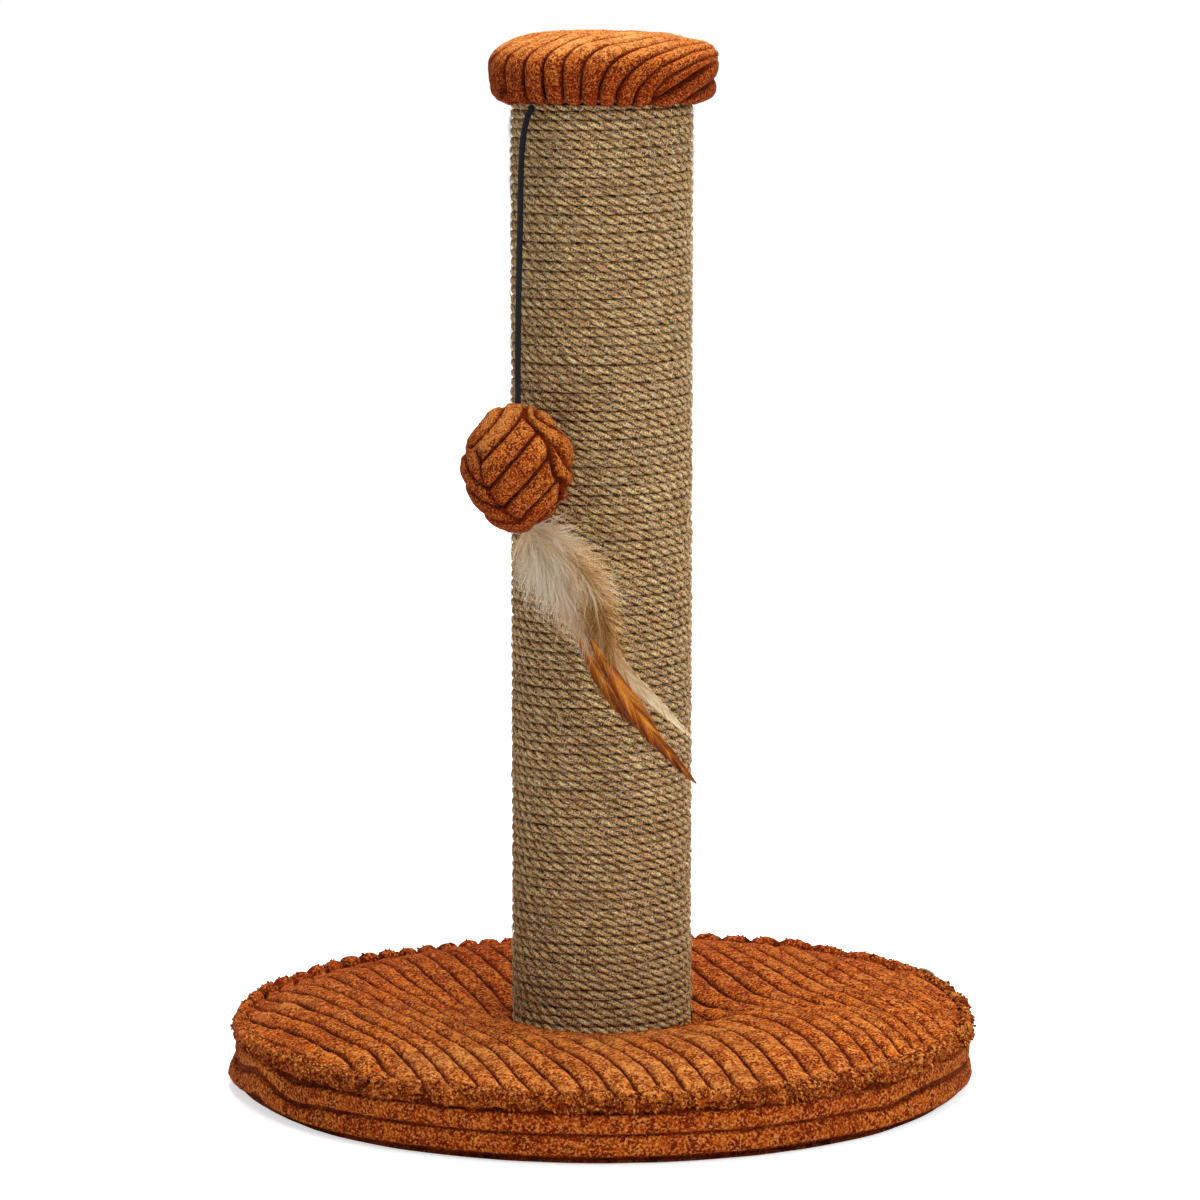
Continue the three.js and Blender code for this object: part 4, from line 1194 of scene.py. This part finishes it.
def ball_ribs(d):
    """Ribs of the ball's panels: slanting at the front, mitred at the left, and turned past the
    seam at the right."""
    dx, dz = d[..., 0], d[..., 2]
    diagonal = np.arcsin(np.clip((dx - dz) / math.sqrt(2), -1, 1)) * 29
    left = 55 * np.hypot(dx + 0.15, dz - 0.45) - 52
    left = np.where((dx < 0.05) & (dz < 0.35), left, -99)
    edge = np.interp(dz, BALL_SEAM[:, 1], BALL_SEAM[:, 0])
    past = (dx - edge) * 27
    front = d[..., 1] < 0.25
    main = rib((np.maximum(diagonal, left) + 18.1) / BALL_WALE, 4.2)
    mitre = bell(diagonal - left, 0, 2.2)
    main = main * (1 - 0.45 * mitre) * np.where(front, smooth(0.5, -3.0, past), 1)
    side = 22 * (dx - edge) + 10 * dz
    panel = rib(side / BALL_SIDE_WALE + 0.1, 2.6) * smooth(-0.3, 2.0, past)
    ribs = np.where(front & (past > 0), panel, main)
    return np.where(d[..., 1] > 0.2, back_panels(d) * smooth(0.2, 0.3, d[..., 1]), ribs)


def toy_ball():
    """A stuffed ball sewn from panels whose ribs meet at an angle."""
    rows, columns = 110, 170
    lat = np.linspace(-math.pi / 2 + 0.14, math.pi / 2 - 0.09, rows)
    lon, lat = np.meshgrid(round_angles(columns), lat)
    d = ring(np.cos(lat), lon, np.sin(lat))
    dx, dz = d[..., 0], d[..., 2]
    ribs = ball_ribs(d)
    shape = d * np.array([BALL_RADIUS, BALL_RADIUS, BALL_HALF_HEIGHT])
    lift = 3.8 * (ribs - 0.97) + 0.8 * noise(shape, 13, 71) + 0.35 * noise(shape, 2.3, 72) * ribs
    squarer = 1 + 0.02 * np.cos(4 * lat)
    points = shape * squarer[..., None] + d * lift[..., None] + BALL_CENTRE
    points = points + OUTWARD * np.maximum(BALL_REST - points @ OUTWARD, 0)[..., None]
    values = {
        # Painted shade in the grooves. Painted light: more golden higher up and to the right, and paler
        # on top.
        "pile_and_shade": line(ribs) * unit(0.4 + 0.6 * ribs),
        "gold_and_light": unit(0.48 + 0.5 * dz + 0.25 * dx + 0.25 * noise(shape, 12, 73)),
        "pale": unit(0.3 * dz + 0.3 * noise(shape, 9, 74) - 0.05),
    }
    piece = make_piece(
        "toy_ball", points, tube_faces(rows, columns), "small_corduroy", "ball_and_feathers", values,
        ["toy_ball_cover", "toy_ball_stuffing"],
    )


toy_ball()

# ---- feathers


def grow(path, at, sideways, forward, raised):
    """Strands that leave a path at some of its points: how far to the side, on and up they go."""
    moved = 0
    for way, far in zip(frames_along(path), (forward, sideways, raised)):
        moved = moved + way[at][:, None] * far[..., None]
    return path[at][:, None] + moved


def toy_points(route):
    """Points of the feathers: right along the post, out from it, and up, from the ball's centre."""
    route = np.asarray(route, float)
    return BALL_CENTRE + route[:, :1] * ACROSS + route[:, 1:2] * OUTWARD + route[:, 2:] * UP


def feather_piece(name, node, look, parts):
    """One piece from several lists of points, faces and tones."""
    all_points, all_faces, all_tones = zip(*parts)
    faces = []
    offset = 0
    for points, some in zip(all_points, all_faces):
        faces.extend([i + offset for i in face] for face in some)
        offset += len(points)
    values = {"tone": unit(np.concatenate(all_tones))}
    make_piece(name, np.vstack(all_points), faces, look, "ball_and_feathers", values, [node])


def long_feather(name, node, look, route, half_width, lean, tones, seed, start):
    """A quill with barbs on both sides that lie close together and point to the tip. tones are
    those of its root and tip, and what is added along the barbs of each side. start is where
    the barbs begin, as a share of the quill."""
    draw = np.random.default_rng(seed)
    count, steps = 260, 6
    path = spline(toy_points(route), 120)
    quill, quill_faces = tube(path, np.linspace(0.55, 0.14, len(path)), 6)
    parts = [(quill, quill_faces, np.full(len(quill), tones[0]))]
    shares = np.linspace(start, 0.985, count)
    t = np.linspace(0, 1, steps)[None]
    for way, added in ((-1, tones[2]), (1, tones[3])):
        share = np.clip(shares + draw.normal(0, 0.002, count), 0, 0.99)
        at = (share * (len(path) - 1)).astype(int)
        place = unit((share - start) / (1 - start))
        swell = np.minimum((place / 0.3) ** 0.7, ((1 - place) / 0.7) ** 0.85)
        reach = half_width * np.maximum(swell, 0.04) * draw.uniform(0.8, 1.08, count)
        ragged = draw.random(count) < 0.08
        reach = np.where(ragged, reach * draw.uniform(0.5, 1.25, count), reach)
        forward = reach * lean * draw.uniform(0.9, 1.15, count)
        out = way * reach[:, None] * np.sin(t * math.pi / 2) ** 1.1
        cup = (draw.normal(0, 0.12, count)[:, None] - 0.8) * t**2 * (way * 0.5 + 0.8)
        paths = grow(path, at, out, forward[:, None] * t, -1.2 * cup)
        points, faces = strands(paths, 0.9 * (1 - 0.75 * t**2), 0.25)
        streak = noise(points_at(share * 26, way), 1, seed)
        tone = mix(tones[0], tones[1], share) + 0.28 * streak + draw.normal(0, 0.12, count)
        parts.append((points, faces, np.repeat((tone[:, None] + added * t).ravel(), 3)))
    feather_piece(name, node, look, parts)


def fluff():
    """Soft down: fine curved strands that spring from the quills and droop."""
    draw = np.random.default_rng(23)
    count, steps = 2300, 6
    plumes = [
        [[5, 0, QUILL_TOP + 2], [13, 0, -42], [21, -3, -55], [28, -6, -68], [34, -8, -78]],
        [[8, 0, QUILL_TOP + 2], [24, -2, -40], [36, -5, -53], [43, -8, -70], [48, -10, -92]],
    ]
    t = np.linspace(0, 1, steps)[None]
    both = []
    for route in plumes:
        path = spline(toy_points(route), 100)
        share = draw.beta(1.0, 1.6, count)
        at = (share * (len(path) - 1)).astype(int)
        way = draw.uniform(-1, 1, count)
        depth = draw.normal(0, 0.42, count)
        swell = np.sin(math.pi * unit(share * 0.80 + 0.20)) ** 0.5
        reach = draw.uniform(10, 27, count) * swell * (1 - 0.35 * share)
        forward = draw.uniform(5, 18, count) * (1.15 - 0.35 * np.abs(way))
        curl = draw.normal(0, 6.0, count)
        bend = t ** draw.uniform(0.8, 1.5, count)[:, None]
        sideways = (way * reach)[:, None] * np.sin(t * 1.45) + curl[:, None] * t**2 * 0.5
        raised = (depth * reach * 0.55)[:, None] * t
        droop = draw.uniform(0, 7, count)[:, None] * t**2
        strands_here = grow(path, at, sideways, forward[:, None] * bend, raised)
        both.append(strands_here - UP * droop[..., None])
    paths = np.concatenate(both)
    count = len(paths)
    paths = paths + OUTWARD * np.maximum(FLUFF_REST - paths @ OUTWARD, 0)[..., None]
    widths = draw.uniform(0.2, 0.46, count)[:, None] * (1 - 0.8 * t)
    points, faces = strands(paths, widths, 0.5)
    right = (paths - BALL_CENTRE) @ ACROSS
    down = -(paths - BALL_CENTRE)[..., 2]
    tone = 0.10 + 0.36 * smooth(8, 38, right - 0.25 * (down - 40)) + 0.36 * smooth(56, 88, down)
    locks = noise(paths[:, steps // 2], 4.5, 77) + 0.6 * noise(paths[:, 1], 9, 78)
    tone = tone + (0.30 * locks + draw.normal(0, 0.16, count))[:, None] - 0.16 * t
    parts = [(points, faces, np.repeat(tone.ravel(), 3))]
    feather_piece("toy_fluff", "toy_feather_fluff", "cream_feather", parts)


fluff()
long_feather(
    "toy_hackle_front", "toy_feather_front", "rust_feather",
    [
        [2, -2, QUILL_TOP - 4], [15, -4, -56], [33, -7, -76], [43, -8, -90],
        [56, -10.5, -108], [66, -13, -122], [77, -16, -135], [93, -19, -151],
    ],
    half_width=5.2, lean=3.8, tones=(0.22, 0.36, 0.05, 0.40), seed=31, start=0.36,
)
long_feather(
    "toy_hackle_middle", "toy_feather_middle", "tan_feather",
    [
        [1.4, -4, QUILL_TOP - 4], [16, -7, -56], [36, -12, -78], [52, -15, -97],
        [70, -18, -113], [88, -21, -128],
    ],
    half_width=4.4, lean=3.4, tones=(0.35, 0.02, 0.1, -0.1), seed=32, start=0.34,
)
long_feather(
    "toy_hackle_rear", "toy_feather_rear", "rust_feather",
    [
        [-1.6, -4, QUILL_TOP - 4], [10, -7, -58], [27, -10, -80], [36, -12, -95],
        [49, -15, -112], [61, -18, -125], [72, -20, -137],
    ],
    half_width=4.6, lean=3.8, tones=(0.1, 0.35, 0.2, 0.1), seed=33, start=0.40,
)

# ---- floor, light and background

FLOOR_SIZE = 6.0  # in metres, from its middle to each edge
FLOOR_COLOUR = (0.86, 0.87, 0.9, 1)
WORLD_LIGHT = 0.24


def seen_directly(tree):
    """1 for the rays that see the background as white: from the camera, in gloss and through glass."""
    ray = add_node(tree, "LightPath")
    seen = ray.outputs["Is Camera Ray"]
    for kind in ("Is Glossy Ray", "Is Transmission Ray"):
        seen = add_node(tree, "Math", {0: seen, 1: ray.outputs[kind]}, operation="MAXIMUM").outputs[0]
    return seen


def floor():
    """A pale floor that turns white a little way from the object."""
    mesh = bpy.data.meshes.new("floor")
    corners = [(x * FLOOR_SIZE, y * FLOOR_SIZE, 0) for x, y in ((-1, -1), (1, -1), (1, 1), (-1, 1))]
    mesh.from_pydata(corners, [], [(0, 1, 2, 3)])
    s = Surface("pale_floor", roughness=0.9, shine=0.1)
    s.inputs["Base Color"].default_value = FLOOR_COLOUR
    s.inputs["Emission Color"].default_value = WHITE
    far = s.node("VectorMath", {0: s.place}, operation="LENGTH").outputs["Value"]
    limits = {"From Min": 0.3, "From Max": 1.6, "To Min": 0.60, "To Max": 1.0}
    fade = s.node("MapRange", {"Value": far, **limits}).outputs["Result"]
    s.feed("Emission Strength", s.math("MULTIPLY", seen_directly(s.tree), fade))
    mesh.materials.append(s.material)
    add_object("floor", mesh)


def lamp(name, place, target, size, power, tint=(1, 1, 1)):
    data = bpy.data.lights.new(name, "AREA")
    data.shape = "RECTANGLE"
    data.size = data.size_y = size
    data.energy = power
    data.color = tint
    made = add_object(name, data)
    made.location = place
    made.rotation_euler = (Vector(target) - Vector(place)).to_track_quat("-Z", "Y").to_euler()


def world():
    made = bpy.data.worlds.new("studio")
    bpy.context.scene.world = made
    made.use_nodes = True
    tree = made.node_tree
    soft = tree.nodes["Background"]
    soft.inputs["Color"].default_value = WHITE
    soft.inputs["Strength"].default_value = WORLD_LIGHT
    white = add_node(tree, "Background", {"Color": WHITE, "Strength": 1.0})
    choices = {0: seen_directly(tree), 1: soft.outputs[0], 2: white.outputs[0]}
    chosen = add_node(tree, "MixShader", choices).outputs[0]
    tree.links.new(chosen, tree.nodes["World Output"].inputs["Surface"])


floor()
world()
lamp("key", (1.3, -1.9, 1.7), (0, 0, 0.25), 1.1, 32, (1.0, 0.99, 0.96))
lamp("fill", (-1.8, -1.6, 0.9), (0, 0, 0.25), 1.6, 2, (0.95, 0.97, 1.0))
lamp("top", (0.1, 0.3, 2.1), (0, 0, 0.3), 1.2, 52)

bpy.context.scene.view_settings.view_transform = "Standard"
